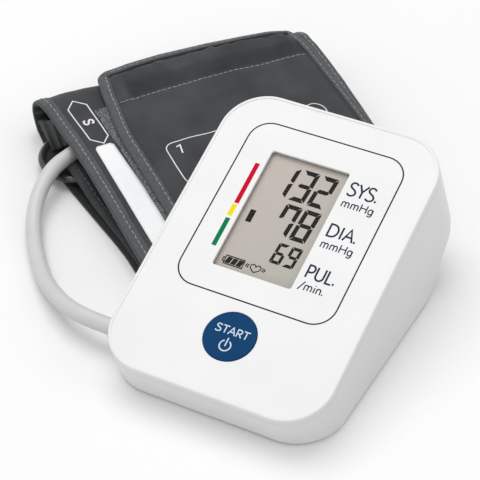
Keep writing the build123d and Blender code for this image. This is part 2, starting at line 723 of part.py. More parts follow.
def make_pressure_sensor():
    sensor = face_block(SENSOR_W, SENSOR_W, MANIFOLD_X, SENSOR_B, BOARD_UNDER, BOARD_UNDER - SENSOR_H)
    return with_nipples(sensor, [(SENSOR_PORT, tuple(-FACE.z_dir))])


def make_air_manifold():
    """A four-way piece on the battery bay: socket, pump, valve and sensor meet in it."""
    half = MANIFOLD_W / 2
    x, y, z = MANIFOLD_X, MANIFOLD_Y, MANIFOLD_Z
    top = ROOF_TOP + MANIFOLD_H
    body = block(x - half, x + half, y - half, y + half, ROOF_TOP, top)
    places = [((x, y - half, z), (0, -1, 0)), ((x, y + half, z), (0, 1, 0)),
              ((x + half, y, z), (1, 0, 0)), ((x, y, top), (0, 0, 1))]
    return with_nipples(body, places)


def bent_tube(points, radius, bore):
    """A round tube along straight runs joined by arcs."""
    path = FilletPolyline(*points, radius=TUBE_BEND)
    section = Circle(radius) - Circle(bore)
    return sweep(Plane(origin=path @ 0, z_dir=path % 0) * section, path=path)


def make_inner_tubes():
    """Silicone tubes from the manifold to the socket, the pump, the valve and the sensor."""
    half = MANIFOLD_W / 2
    x, y, z = MANIFOLD_X, MANIFOLD_Y, MANIFOLD_Z
    drop = BAY_FRONT - BAY_WALL - TUBE_R
    pump_end = PUMP_PORT[1]
    valve_end = VALVE_PORT_AT[1]
    run = NIPPLE_L + TUBE_BEND
    to_socket = [(x, y - half, z), (x, drop, z), (x, drop - 2 * TUBE_BEND, SOCKET_Z),
                 (x, SOCKET_Y, SOCKET_Z), SOCKET_IN]
    to_pump = [(x, y + half, z), (x, y + half + run, z), (x, pump_end - run, PORT_Z), PUMP_PORT]
    to_valve = [(x + half, y, z), (VALVE_TUBE_X, y, z), (VALVE_TUBE_X, y + half + run, z),
                (VALVE_TUBE_X, valve_end - run, PORT_Z), VALVE_PORT_AT]
    to_sensor = [(x, y, ROOF_TOP + MANIFOLD_H), (x, y, z + SENSOR_RISE), SENSOR_PORT]
    routes = [to_socket, to_pump, to_valve, to_sensor]
    return group([bent_tube(route, TUBE_R, NIPPLE_R + TUBE_FIT) for route in routes])


# ================================================================ sockets

def make_air_socket():
    """The cuff's socket: a bored collar in the left wall, with a nipple inside."""
    socket = rod(SOCKET_R, (SOCKET_FACE, SOCKET_Y, SOCKET_Z), SOCKET_IN)
    bore_end = (SOCKET_FACE + SOCKET_BORE_L, SOCKET_Y, SOCKET_Z)
    socket -= rod(SOCKET_BORE_R, (SOCKET_FACE, SOCKET_Y, SOCKET_Z), bore_end)
    return with_nipples(socket, [(SOCKET_IN, (1, 0, 0))])


def make_dc_jack():
    """The adapter's socket: a square body with a round collar in the wall."""
    outside = -wall_x(JACK_Y, JACK_Z)
    inside = outside + WALL + FIT
    half = JACK_SIDE / 2
    jack = block(inside, inside + JACK_L, JACK_Y - half, JACK_Y + half, JACK_Z - half, JACK_Z + half)
    jack += rod(JACK_COLLAR_R, (outside, JACK_Y, JACK_Z), (inside, JACK_Y, JACK_Z))
    return jack - rod(JACK_BORE_R, (outside, JACK_Y, JACK_Z), (outside + JACK_BORE_L, JACK_Y, JACK_Z))


def make_jack_pin():
    """The jack's centre pin, on the bottom of its bore."""
    outside = -wall_x(JACK_Y, JACK_Z)
    return rod(JACK_PIN_R, (outside + JACK_PIN_SHORT, JACK_Y, JACK_Z), (outside + JACK_BORE_L, JACK_Y, JACK_Z))


# ================================================================ batteries

def cell_x(i):
    return (i - (CELLS - 1) / 2) * CELL_PITCH


def along_bay(i, distance):
    """A place along the bay, counted from the end at which cell i has its spring."""
    return BAY_FRONT + distance if i % 2 == 0 else BAY_REAR - distance


def make_cells():
    """AA cells side by side, each the other way round from its neighbour."""
    cells = []
    for i in range(CELLS):
        base = CONTACT_T + SPRING_L
        places = [(cell_x(i), along_bay(i, d), CELL_Z) for d in (base, base + CELL_L, base + CELL_L + NUB_L)]
        can = rod(CELL_R, places[0], places[1])
        can = fillet(can.edges().filter_by(GeomType.CIRCLE), CELL_END_R)
        cells.append(can + rod(NUB_R, places[1], places[2]))
    return group(cells)


def make_contacts():
    """A plate at each end of every cell."""
    plates = []
    half_w = CONTACT_W / 2
    half_h = CONTACT_H / 2
    for i in range(CELLS):
        for start, end in ((0, CONTACT_T), (BAY_L - CONTACT_T, BAY_L)):
            y0, y1 = sorted((along_bay(i, start), along_bay(i, end)))
            x = cell_x(i)
            plates.append(block(x - half_w, x + half_w, y0, y1, CELL_Z - half_h, CELL_Z + half_h))
    return group(plates)


def make_springs():
    """A conical coil spring at the flat end of every cell."""
    height = SPRING_L - 2 * SPRING_WIRE
    cone = math.degrees(math.atan((SPRING_R - SPRING_TIP_R) / height))
    coil = Helix(pitch=height / SPRING_TURNS, height=height, radius=SPRING_R, cone_angle=-cone)
    wire = sweep(Plane(origin=coil @ 0, z_dir=coil % 0) * Circle(SPRING_WIRE), path=coil)
    springs = []
    for i in range(CELLS):
        way = 1 if i % 2 == 0 else -1
        seat = Plane(origin=(cell_x(i), along_bay(i, CONTACT_T + SPRING_WIRE), CELL_Z), z_dir=(0, way, 0))
        springs.append(seat * wire)
    return group(springs)


# ================================================================ cuff

def sheet_z(v, depth=0.0):
    """Height of the folded cuff's upper side, or of a layer at some depth under it."""
    return CUFF_H - CUFF_FALL * (v - FOLD_R) - depth


def cuff_slab(v0, v1, u0, u1, top, bottom):
    """A layer that follows the cuff's upper side, between two depths under it."""
    points = [(v0, 0, sheet_z(v0, bottom)), (v1, 0, sheet_z(v1, bottom)),
              (v1, 0, sheet_z(v1, top)), (v0, 0, sheet_z(v0, top))]
    layer = extrude(make_face(Polyline(points, close=True)), amount=u1 - u0, dir=(0, 1, 0))
    return CUFF * Pos(0, u0, 0) * layer


def upright(outline):
    """A flat outline stood up across the cuff and drawn along its width."""
    face = Plane(origin=(0, 0, 0), x_dir=(1, 0, 0), z_dir=(0, -1, 0)) * outline
    return CUFF * extrude(face, amount=CUFF_W, dir=(0, 1, 0))


def fold_outline(depth, run, tip):
    """The loop from the side, at some depth inside its outer surface."""
    fold = Pos(FOLD_R, FOLD_R) * Circle(FOLD_R - depth)
    points = [(FOLD_R, depth), (run, depth), tip, (run, sheet_z(run, depth)), (FOLD_R, CUFF_H - depth)]
    return fold + make_face(Polyline(points, close=True))


def loop_void():
    tip_v = LOOP_RUN + LOOP_TIP
    return fold_outline(SHEET_T, LOOP_RUN, (tip_v, (SHEET_T + sheet_z(tip_v, SHEET_T)) / 2))


def rear_y():
    """Y of the casing's rearmost edge, where its rear wall meets the slope under it."""
    top_y = FACE_FRONT + FACE_L * math.cos(TILT)
    top_z = FRONT_H + FACE_L * math.sin(TILT)
    lean = math.tan(TILT + DRAFT)
    rise = math.tan(SLOPE)
    z = (FOOT_H + rise * (top_y - HEEL_Y + lean * top_z)) / (1 + rise * lean)
    return top_y + lean * (top_z - z)


def clear_of_unit(shape, gap):
    """Cut away what would lie nearer to the unit than the gap."""
    half = wall_x(HEEL_Y, FOOT_H) + gap
    rear = rear_y() + gap
    outline = RectangleRounded(2 * half, 2 * rear, FACE_R + gap)
    return shape - Pos(0, 0, -1) * extrude(outline, amount=4 * CUFF_H)


def port_line():
    """The hose port's axis: from the hose's first point, straight on into the loop."""
    start = Vector(*HOSE_BENDS[0])
    way = (start - Vector(*HOSE_BENDS[1])).normalized()
    return start, start + way * PORT_L


def make_hose_port():
    """The bladder's elbow: the hose goes on its end, its stem goes up through the lining."""
    start, end = port_line()
    middle = (start + end) * 0.5
    stem = rod(PORT_STEM_R, middle, middle + Vector(0, 0, CUFF_H))
    stem -= cuff_slab(0, CUFF_RUN, -CUFF_W, 2 * CUFF_W, -CUFF_H, NYLON_T + BLADDER_T)
    return rod(PORT_R, start, end) + stem


def make_cuff_lining():
    """The inner layer of the loop, open at both ends for the arm."""
    void = loop_void()
    lining = upright(offset(void, LINING_T)) - upright(void)
    start, end = port_line()
    middle = (start + end) * 0.5
    return lining - rod(PORT_STEM_R + PORT_STEM_FIT, middle, middle + Vector(0, 0, CUFF_H))


def bladder_layer(slack):
    margin = BLADDER_MARGIN + slack
    layer = cuff_slab(FOLD_R + slack, CUFF_RUN - margin, margin, CUFF_W - margin,
                      NYLON_T + slack, NYLON_T + BLADDER_T - slack / 2)
    return clear_of_unit(layer, UNIT_GAP + margin)


def make_cuff_wrap():
    """The nylon outside: the far fold, the upper and the lower layer, pressed together at the near end."""
    outline = fold_outline(0, CUFF_RUN, (CUFF_RUN + NEAR_TIP, CUFF_H_NEAR / 2))
    wrap = upright(outline)
    bulge_edge = Spline((LIP_FROM, 0), (LIP_AT, -LIP_OUT), (2 * LIP_AT, -LIP_OUT / 2), (LIP_TO, 0))
    bulge = make_face(bulge_edge + Line((LIP_TO, 0), (LIP_FROM, 0)))
    wrap += CUFF * extrude(bulge, amount=SHEET_T)
    wrap -= upright(offset(loop_void(), LINING_T))
    wrap -= bladder_layer(0)
    return clear_of_unit(wrap, UNIT_GAP)


def make_cuff_bladder():
    return bladder_layer(BLADDER_SLACK)


def make_pile_patch():
    patch = cuff_slab(PATCH_FROM[0], PATCH_TO[0], PATCH_FROM[1], PATCH_TO[1], -PATCH_T, 0)
    return clear_of_unit(patch, UNIT_GAP)


def make_cuff_flap():
    """The cuff's free end, folded back over the loop and held by the pile."""
    far_left = (FLAP_END[0], FLAP_LEFT[0])
    far_right = (FLAP_END[1], FLAP_RIGHT[0])
    near_right = (CUFF_RUN, FLAP_RIGHT[1])
    near_left = (CUFF_RUN, FLAP_LEFT[1])
    bow = (FLAP_BOW, (FLAP_LEFT[0] + FLAP_RIGHT[0]) / 2)
    edge = ThreePointArc(far_left, bow, far_right) + Polyline(far_right, near_right, near_left, far_left)
    outline = make_face(edge)
    corners = [outline.vertices().sort_by_distance((*point, 0))[0] for point in (far_left, far_right)]
    outline = fillet(corners, FLAP_R)
    prism = CUFF * Pos(0, 0, -1) * extrude(outline, amount=3 * CUFF_H)
    slab = cuff_slab(-FOLD_R, CUFF_RUN, 0, CUFF_W, -PATCH_T - FLAP_T, -PATCH_T)
    return clear_of_unit(slab & prism, UNIT_GAP)


def make_d_ring():
    """A flat wire ring with round ends, lying in the loop."""
    radius = RING_W / 2 - RING_WIRE_R
    start = -RING_OUT + RING_W / 2
    end = -RING_OUT + RING_L - RING_W / 2
    low = RING_FROM + RING_WIRE_R
    high = RING_FROM + RING_W - RING_WIRE_R
    middle = RING_FROM + RING_W / 2
    path = Line((low, start), (low, end))
    path += ThreePointArc((low, end), (middle, end + radius), (high, end))
    path += Line((high, end), (high, start))
    path += ThreePointArc((high, start), (middle, start - radius), (low, start))
    section = Plane(origin=(low, start, 0), z_dir=(0, 1, 0)) * Circle(RING_WIRE_R)
    return CUFF * Pos(0, 0, SHEET_T + RING_CLEAR + RING_WIRE_R) * sweep(section, path=path)


# ================================================================ hose and plug

def arc_radii(route):
    """The largest arc that each point of a route leaves room for."""
    points = [Vector(*p) for p in route]
    radii = []
    for before, point, after in zip(points, points[1:], points[2:]):
        turn = math.radians((point - before).get_angle(after - point))
        shorter = min((point - before).length, (after - point).length)
        radii.append(RUN_SHARE * shorter / math.tan(turn / 2))
    return radii


def make_air_hose():
    radii = arc_radii(HOSE_ROUTE)
    path = FilletPolyline(*HOSE_ROUTE, radius=radii)
    hose = sweep(Plane(origin=path @ 0, z_dir=path % 0) * Circle(HOSE_R), path=path)
    print("hose end", [round(c, 2) for c in HOSE_END], "radii", [round(r, 1) for r in radii])
    print("hose length", round(path.length, 1), "volume", round(hose.volume, 1),
          "section times length", round(math.pi * HOSE_R ** 2 * path.length, 1))
    return hose


PLUG_FACE = SOCKET_FACE - PLUG_STAND
PLUG_AXIS = (SOCKET_Y, SOCKET_Z)
HOSE_END = (PLUG_FACE - PLUG_FLANGE_T, *PLUG_AXIS)
HOSE_ROUTE = HOSE_BENDS + [(HOSE_END[0] - HOSE_END_RUN, *PLUG_AXIS), HOSE_END]


def seal_ring(outer):
    start = (PLUG_FACE + SEAL_AT, *PLUG_AXIS)
    end = (PLUG_FACE + SEAL_AT + SEAL_T, *PLUG_AXIS)
    return rod(outer, start, end) - rod(PLUG_R - SEAL_DEEP, start, end)


def make_air_plug():
    """The hose's end piece: a flange outside the socket and a grooved spigot inside it."""
    plug = rod(PLUG_FLANGE_R, HOSE_END, (PLUG_FACE, *PLUG_AXIS))
    plug += rod(PLUG_R, (PLUG_FACE, *PLUG_AXIS), (PLUG_FACE + PLUG_L, *PLUG_AXIS))
    plug -= seal_ring(PLUG_R + 1)
    bore_start = (PLUG_FACE - PLUG_FLANGE_T / 2, *PLUG_AXIS)
    return plug - rod(PLUG_BORE_R, bore_start, (PLUG_FACE + PLUG_L, *PLUG_AXIS))


def make_plug_seal():
    return seal_ring(PLUG_R + SEAL_PROUD)


PIECES = {
    "top_case": make_top_case,
    "bottom_case": make_bottom_case,
    "battery_cover": make_battery_cover,
    "rubber_feet": make_rubber_feet,
    "case_screws": make_case_screws,
    "display_window": make_display_window,
    "lcd_panel": make_lcd_panel,
    "lcd_holder": make_lcd_holder,
    "connector_strips": make_connector_strips,
    "start_button": make_start_button,
    "switch_plunger": make_switch_plunger,
    "start_switch": make_start_switch,
    "circuit_board": make_circuit_board,
    "board_screws": make_board_screws,
    "buzzer": make_buzzer,
    "controller_chip": make_controller_chip,
    "pump_motor": make_pump_motor,
    "pump_head": make_pump_head,
    "pump_cradle": make_pump_cradle,
    "exhaust_valve": make_exhaust_valve,
    "pressure_sensor": make_pressure_sensor,
    "air_manifold": make_air_manifold,
    "inner_tubes": make_inner_tubes,
    "air_socket": make_air_socket,
    "dc_jack": make_dc_jack,
    "jack_pin": make_jack_pin,
    "aa_cells": make_cells,
    "cell_contacts": make_contacts,
    "cell_springs": make_springs,
    "cuff_wrap": make_cuff_wrap,
    "cuff_lining": make_cuff_lining,
    "cuff_bladder": make_cuff_bladder,
    "pile_patch": make_pile_patch,
    "cuff_flap": make_cuff_flap,
    "d_ring": make_d_ring,
    "hose_port": make_hose_port,
    "air_hose": make_air_hose,
    "air_plug": make_air_plug,
    "plug_seal": make_plug_seal,
}

os.makedirs("parts", exist_ok=True)
for node, make in PIECES.items():
    save(make(), node)
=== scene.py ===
import bpy
import json
from math import atan2, ceil, cos, exp, hypot, pi, radians, sin, sqrt
from mathutils import Matrix, Vector, noise

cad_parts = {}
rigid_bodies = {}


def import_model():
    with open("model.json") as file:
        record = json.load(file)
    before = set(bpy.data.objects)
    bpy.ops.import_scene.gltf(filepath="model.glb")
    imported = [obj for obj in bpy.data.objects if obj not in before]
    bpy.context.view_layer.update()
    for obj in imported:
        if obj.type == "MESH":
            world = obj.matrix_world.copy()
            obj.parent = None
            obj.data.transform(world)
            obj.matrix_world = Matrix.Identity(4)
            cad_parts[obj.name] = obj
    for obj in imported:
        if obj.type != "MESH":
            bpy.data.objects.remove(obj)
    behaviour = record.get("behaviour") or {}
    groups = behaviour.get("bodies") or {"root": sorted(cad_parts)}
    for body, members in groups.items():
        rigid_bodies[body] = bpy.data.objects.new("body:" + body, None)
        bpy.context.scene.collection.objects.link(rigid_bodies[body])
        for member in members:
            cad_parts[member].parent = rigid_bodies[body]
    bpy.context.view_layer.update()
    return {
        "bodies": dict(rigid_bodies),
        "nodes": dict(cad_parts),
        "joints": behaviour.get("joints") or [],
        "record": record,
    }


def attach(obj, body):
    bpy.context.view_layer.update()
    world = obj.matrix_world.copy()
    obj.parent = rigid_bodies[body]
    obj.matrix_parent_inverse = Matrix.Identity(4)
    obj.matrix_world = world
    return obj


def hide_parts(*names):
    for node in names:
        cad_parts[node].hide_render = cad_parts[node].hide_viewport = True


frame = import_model()
NODES = frame["nodes"]

# Lengths in this file are millimetres in the row frame unless a name ends in _M; MM turns them into metres.
MM = 0.001

# ------------ camera, light and hose
CAMERA_AT_M = (0.26316, -0.48585, 0.5249)
CAMERA_RIGHT = (0.881055, 0.472258, -0.026721)
CAMERA_UP = (-0.288414, 0.581129, 0.760991)
LENS = 135.0
AMBIENT = 0.55  # how bright the world lights the part
FLOOR_SHADE = 0.62
FLOOR_REACH_M = 3.0
FLOOR_AT_M = -0.0002  # just under the part
LAMPS_M = [  # name, place, aim, width, and power in watts
    ("overhead", (-0.35, 0.25, 1.5), (-0.03, 0.04, 0.0), 1.3, 11.0),
    ("side", (1.2, 0.2, 0.8), (0.0, 0.0, 0.02), 0.8, 2.0),
    ("front", (-0.15, -1.4, 0.25), (0.0, -0.03, 0.03), 0.7, 3.6),
]

HOSE_R = 3.7
HOSE_ROUTE_M = [
    (-0.1314, 0.0715, 0.0112), (-0.1338, 0.0586, 0.0115), (-0.1355, 0.0454, 0.0123), (-0.1339, 0.0315, 0.0098),
    (-0.1292, 0.0182, 0.0062), (-0.1208, 0.0056, 0.0043), (-0.1114, -0.0056, 0.0039), (-0.1016, -0.0156, 0.0049),
    (-0.0909, -0.0240, 0.0076), (-0.0794, -0.0309, 0.0102), (-0.06636, -0.0346, 0.0120), (-0.05396, -0.0346, 0.0120),
]

# ------------ desk unit
TILT = radians(20.0)
FACE_FRONT = -58.075
FACE_FRONT_H = 19.0
PANEL = -0.35  # the face panel lies this far below its rim
LCD_TOP = -2.8
BUTTON_TOP = 0.05
INK = 0.03  # thickness of a print
INK_LCD = 0.02

# ------------ cuff
# Places on the cuff are v, away from its far fold, u across it, and a height.
CUFF_CORNER = (-162.9, 80.4)
V_DIR = (0.80178, -0.59763)
U_DIR = (0.59763, 0.80178)
CUFF_TURN = atan2(V_DIR[1], V_DIR[0])
CUFF_W = 135.0
CUFF_RUN = 126.0
FOLD_R = 11.0  # radius of the far fold
CUFF_H = 22.0  # height at the far fold
CUFF_FALL = 12.0 / 115.0
PATCH_T = 0.6  # the pile under the flap
FLAP_U0, FLAP_SPAN = 27, 102  # the flap's far edge, across the cuff
TAPE_W = 6.0  # the sleeve's binding
FLAP_TAPE_W = 5.3
TAPE_RIGHT = 0.76  # the flap's right tape shows this share of the left one's width
FLAP_T = 1.5  # the flap without its swell
UP = Vector((0, 0, 1))


# ============ places

def face_point(a, b, h):
    """A place on the unit's face: a across, b up the face, h above its rim."""
    return Vector((a, FACE_FRONT + b * cos(TILT) - h * sin(TILT),
                   FACE_FRONT_H + b * sin(TILT) + h * cos(TILT))) * MM


def cuff_point(v, u, z):
    x, y = (CUFF_CORNER[k] + v * V_DIR[k] + u * U_DIR[k] for k in (0, 1))
    return Vector((x, y, z)) * MM


def cuff_top(v):
    """Height of the sleeve's upper side, without its swell."""
    return CUFF_H - CUFF_FALL * (v - FOLD_R)


def rough(*place):
    """Smooth noise from about -1 to 1."""
    return noise.noise(Vector(place))


def between(value, places):
    """Straight-line interpolation in a list of (place, value) pairs."""
    if value <= places[0][0]:
        return places[0][1]
    for (x0, y0), (x1, y1) in zip(places, places[1:]):
        if value <= x1:
            return y0 + (y1 - y0) * (value - x0) / (x1 - x0)
    return places[-1][1]


def smooth(t):
    """0 below 0, 1 above 1, and an even rise between."""
    t = min(1.0, max(0.0, t))
    return t * t * (3 - 2 * t)


def steps(start, end, count):
    return [start + (end - start) * i / count for i in range(count + 1)]


# ============ meshes

def link(name, data):
    obj = bpy.data.objects.new(name, data)
    bpy.context.scene.collection.objects.link(obj)
    return obj


def new_object(name, points, faces, material, body="cuff", slot="nylon_charcoal", uvs=None, smooth_faces=True):
    """A mesh piece, of the cuff where nothing else is said, with one of MATERIALS."""
    mesh = bpy.data.meshes.new(name)
    mesh.from_pydata(points, [], faces)
    mesh.validate()
    if uvs:
        layer = mesh.uv_layers.new(name="metric")
        for loop in mesh.loops:
            layer.data[loop.index].uv = uvs[loop.vertex_index]
    mesh.polygons.foreach_set("use_smooth", [smooth_faces] * len(mesh.polygons))
    mesh.materials.append(MATERIALS[material])
    obj = link(name, mesh)
    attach(obj, body)
    return obj


def grid_faces(rows, columns, close_rows=False, close_columns=False, first=0):
    """Quads over points that are listed row by row; a closed side joins its last points to its first."""
    faces = []
    for i in range(rows if close_rows else rows - 1):
        for j in range(columns if close_columns else columns - 1):
            here = first + i * columns
            there = first + (i + 1) % rows * columns
            after = (j + 1) % columns
            faces.append((here + j, here + after, there + after, there + j))
    return faces


def tube_faces(rows, columns, first=0):
    """Quads round a profile that is carried along, and its two ends."""
    last = first + (rows - 1) * columns
    return grid_faces(rows, columns, close_columns=True, first=first) + [
        tuple(reversed(range(first, first + columns))), tuple(range(last, last + columns))]


def sweep(name, frames, profile, material):
    """A profile of (inward, up) pairs carried along frames of (point, inward, up)."""
    points, uvs = [], []
    run = 0.0
    for k, (point, inward, up) in enumerate(frames):
        if k:
            run += (point - frames[k - 1][0]).length
        for j, (d, h) in enumerate(profile):
            points.append(point + inward * d * MM + up * h * MM)
            uvs.append((run, j * 0.002))
    return new_object(name, points, tube_faces(len(frames), len(profile)), material, uvs=uvs)


def closed_sheet(name, place, layers, along, across, material, **more):
    """A sheet with an upper and a lower layer, each place(along, across, layer), joined round its rim."""
    points = [place(a, b, layer) for layer in layers for a in along for b in across]
    rows, columns = len(along), len(across)
    faces = grid_faces(rows, columns)
    below = rows * columns
    faces += [tuple(below + k for k in reversed(face)) for face in faces]
    rim = [*range(columns), *range(2 * columns - 1, below, columns),
           *range(below - 2, below - columns - 1, -1), *range(below - 2 * columns, 0, -columns)]
    for a, b in zip(rim, rim[1:] + rim[:1]):
        faces.append((b, a, a + below, b + below))
    return new_object(name, points, faces, material, **more)


def ribbons(name, lines, width, place, material, rise=INK, **more):
    """Flat printed strokes of one width along lines of (x, y) points; a line whose ends meet is closed."""
    points, faces = [], []
    for line in lines:
        closed = (Vector(line[0]) - Vector(line[-1])).length < 1e-6
        path = [Vector(p) for p in (line[:-1] if closed else line)]
        first = len(points)
        for k, p in enumerate(path):
            before = path[k - 1] if closed or k else p
            after = path[(k + 1) % len(path)] if closed or k + 1 < len(path) else p
            lead, tail = p - before, after - p
            lead = (lead if lead.length > 1e-9 else tail).normalized()
            tail = tail.normalized() if tail.length > 1e-9 else lead
            way = (lead + tail).normalized()
            side = Vector((-way.y, way.x)) * width / 2 / max(0.5, way.dot(lead))
            for offset, h in ((side, rise), (-side, rise), (-side, 0), (side, 0)):
                points.append(place(p.x + offset.x, p.y + offset.y, h))
        faces += grid_faces(len(path), 4, True, True, first) if closed else tube_faces(len(path), 4, first)
    return new_object(name, points, faces, material, smooth_faces=False, **more)


def plates(name, outlines, place, material, rise=INK, **more):
    """Flat printed areas, each a polygon of (x, y) points."""
    points, faces = [], []
    for outline in outlines:
        first = len(points)
        count = len(outline)
        points += [place(x, y, h) for h in (rise, 0) for x, y in outline]
        faces += [tuple(range(first, first + count)), tuple(reversed(range(first + count, first + 2 * count)))]
        for k in range(count):
            n = (k + 1) % count
            faces.append((first + n, first + k, first + count + k, first + count + n))
    return new_object(name, points, faces, material, smooth_faces=False, **more)


def arc(cx, cy, rx, ry, start, end, count=14):
    """Points on an ellipse between two angles in degrees."""
    return [(cx + rx * cos(radians(t)), cy + ry * sin(radians(t))) for t in steps(start, end, count)]


def box(x0, x1, y0, y1):
    return [(x0, y0), (x1, y0), (x1, y1), (x0, y1)]


def curve_through(points):
    """A smooth line through points."""
    per_span = 6
    ends = [points[0], *points, points[-1]]
    line = []
    for k in range(len(points) - 1):
        p0, p1, p2, p3 = (Vector(p) for p in ends[k:k + 4])
        for i in range(per_span):
            t = i / per_span
            line.append(0.5 * ((2 * p1) + (p2 - p0) * t + (2 * p0 - 5 * p1 + 4 * p2 - p3) * t * t
                               + (3 * p1 - p0 - 3 * p2 + p3) * t ** 3))
    line.append(Vector(points[-1]))
    return [tuple(p) for p in line]


def round_box(x0, x1, y0, y1, radius):
    """A closed outline with round corners."""
    outline = []
    for k, (x, y) in enumerate(((x1 - radius, y1 - radius), (x0 + radius, y1 - radius),
                                (x0 + radius, y0 + radius), (x1 - radius, y0 + radius))):
        outline += arc(x, y, radius, radius, 90 * k, 90 * k + 90, 8)
    return outline + outline[:1]


# ============ materials

MATERIALS = {}


class Shader:
    """A Principled material, kept in MATERIALS, and short ways to add nodes to it."""

    def __init__(self, name, color, roughness, **inputs):
        material = MATERIALS[name] = bpy.data.materials.new(name)
        material.use_nodes = True
        self.tree = material.node_tree
        self.bsdf = self.tree.nodes["Principled BSDF"]
        for key, value in {"Base Color": (*color, 1), "Roughness": roughness, **inputs}.items():
            self.bsdf.inputs[key.replace("_", " ")].default_value = value
        self.height = None

    def add(self, kind, values=None, links=None, **settings):
        node = self.tree.nodes.new("ShaderNode" + kind)
        for key, value in settings.items():
            setattr(node, key, value)
        for key, value in (values or {}).items():
            node.inputs[key].default_value = value
        for key, socket in (links or {}).items():
            self.tree.links.new(socket, node.inputs[key])
        return node

    def place(self, turn=0.0, scale=(1, 1, 1), uv=False):
        """Coordinates in metres, turned about Z, or along a sweep."""
        where = self.add("TexCoord").outputs["UV" if uv else "Object"]
        return self.add("Mapping", {"Rotation": (0, 0, turn), "Scale": scale}, {"Vector": where}).outputs["Vector"]

    def noise(self, vector, scale, detail=3.0, roughness=0.55):
        values = {"Scale": scale, "Detail": detail, "Roughness": roughness}
        return self.add("TexNoise", values, {"Vector": vector}).outputs["Fac"]

    def bands(self, vector, pitch, distortion, direction):
        """Stripes across a direction, pitch metres apart."""
        values = {"Scale": 0.5 / pitch, "Distortion": distortion, "Detail": 1.0}
        return self.add("TexWave", values, {"Vector": vector}, wave_type="BANDS",
                        bands_direction=direction).outputs["Fac"]

    def ramp(self, factor, low, high, start=0.3, end=0.7):
        """A factor mapped to a range of values."""
        values = {"From Min": start, "From Max": end, "To Min": low, "To Max": high}
        return self.add("MapRange", values, {"Value": factor}).outputs["Result"]

    def mix(self, factor, one, other):
        """A colour between two, each a colour or a socket."""
        node = self.add("Mix", data_type="RGBA")
        self.tree.links.new(factor, node.inputs["Factor"])
        for slot, value in ((6, one), (7, other)):
            if isinstance(value, tuple):
                node.inputs[slot].default_value = (*value, 1)
            else:
                self.tree.links.new(value, node.inputs[slot])
        return node.outputs[2]

    def color(self, socket):
        self.tree.links.new(socket, self.bsdf.inputs["Base Color"])

    def roughness(self, socket):
        self.tree.links.new(socket, self.bsdf.inputs["Roughness"])

    def bump(self, socket, distance, strength=1.0):
        """Adds one layer of bump, its depth in metres."""
        links = {"Height": socket, "Normal": self.height} if self.height else {"Height": socket}
        node = self.add("Bump", {"Distance": distance, "Strength": strength}, links)
        self.height = node.outputs["Normal"]
        self.tree.links.new(self.height, self.bsdf.inputs["Normal"])


def varied(name, color, other, roughness, scale, grain, depth_um, spread=0.06, **inputs):
    """A moulded or painted finish: two near colours, or greys, in soft patches, and a fine surface grain."""
    color, other = (c if isinstance(c, tuple) else (c, c, c) for c in (color, other))
    shader = Shader(name, color, roughness, **inputs)
    where = shader.place()
    broad = shader.noise(where, scale)
    shader.color(shader.mix(shader.ramp(broad, 0, 1), color, other))
    shader.roughness(shader.ramp(broad, roughness - spread, roughness + spread))
    shader.bump(shader.noise(where, grain, 2.0), depth_um * 1e-6)


def ink(name, color, other, roughness=0.4):
    """A matt print."""
    varied(name, color, other, roughness, 150, 2500, 10, Specular_IOR_Level=0.04)


def darker(color, share):
    return tuple(c * share for c in color)


def woven(name, color, other, pitch, depth):
    """Plain weave: warp and weft ribs at right angles, that pass over each other in a chequer.

    A mesh's painted light, from -1 to 1, makes it darker with painted shade or paler with a painted sheen."""
    shader = Shader(name, color, 0.62, Sheen_Weight=0.06, Sheen_Roughness=0.4, Specular_IOR_Level=0.25)
    where = shader.place(turn=-CUFF_TURN)
    ribs = {k: shader.bands(where, pitch, 0.6, direction) for k, direction in enumerate("XY")}
    cross = shader.add("Math", links=ribs, operation="MULTIPLY").outputs[0]
    cloudy = shader.noise(where, 45.0, 4.0)
    weave = shader.mix(shader.ramp(cross, 0.0, 1.0, 0.0, 0.8), color, other)
    cloth = shader.mix(shader.ramp(cloudy, 0.0, 0.75), weave, darker(color, 0.72))
    # painted shade and sheen, from the mesh's painted light attribute, scale the cloth's colour
    painted_light = shader.ramp(shader.add("Attribute", attribute_name="painted_light").outputs["Fac"], 0.5, 1.5, -1.0, 1.0)
    shader.color(shader.add("VectorMath", links={0: cloth, 3: painted_light}, operation="SCALE").outputs["Vector"])
    shader.roughness(shader.ramp(cloudy, 0.54, 0.70))
    shader.bump(shader.noise(where, 130.0), 0.00025, 0.6)
    shader.bump(cross, depth, 0.8)


def ribbed(name, color, other):
    """Binding tape: fine ribs across its length."""
    shader = Shader(name, color, 0.6, Sheen_Weight=0.1, Sheen_Roughness=0.4, Specular_IOR_Level=0.25)
    wave = shader.bands(shader.place(uv=True), 0.0006, 0.8, "X")
    where = shader.place()
    cloudy = shader.noise(where, 180.0)
    grain = shader.ramp(shader.noise(where, 900.0, 3.0, 0.65), 0.0, 0.75)
    ribs = shader.mix(shader.ramp(wave, 0, 0.7, 0, 1), color, other)
    shader.color(shader.mix(grain, ribs, darker(color, 0.62)))
    shader.roughness(shader.ramp(cloudy, 0.5, 0.72))
    shader.bump(cloudy, 0.0002, 0.6)
    shader.bump(wave, 0.00007, 0.7)


def steel_material():
    """Bright metal with fine drawn lines."""
    color = (0.62, 0.62, 0.62)
    shader = Shader("steel", color, 0.32, Metallic=1.0)
    lines = shader.noise(shader.place(scale=(1, 0.06, 1)), 2500.0, 2.0)
    shader.roughness(shader.ramp(lines, 0.24, 0.42))
    shader.color(shader.mix(shader.ramp(lines, 0, 1), color, darker(color, 0.85)))
    shader.bump(lines, 0.000006)


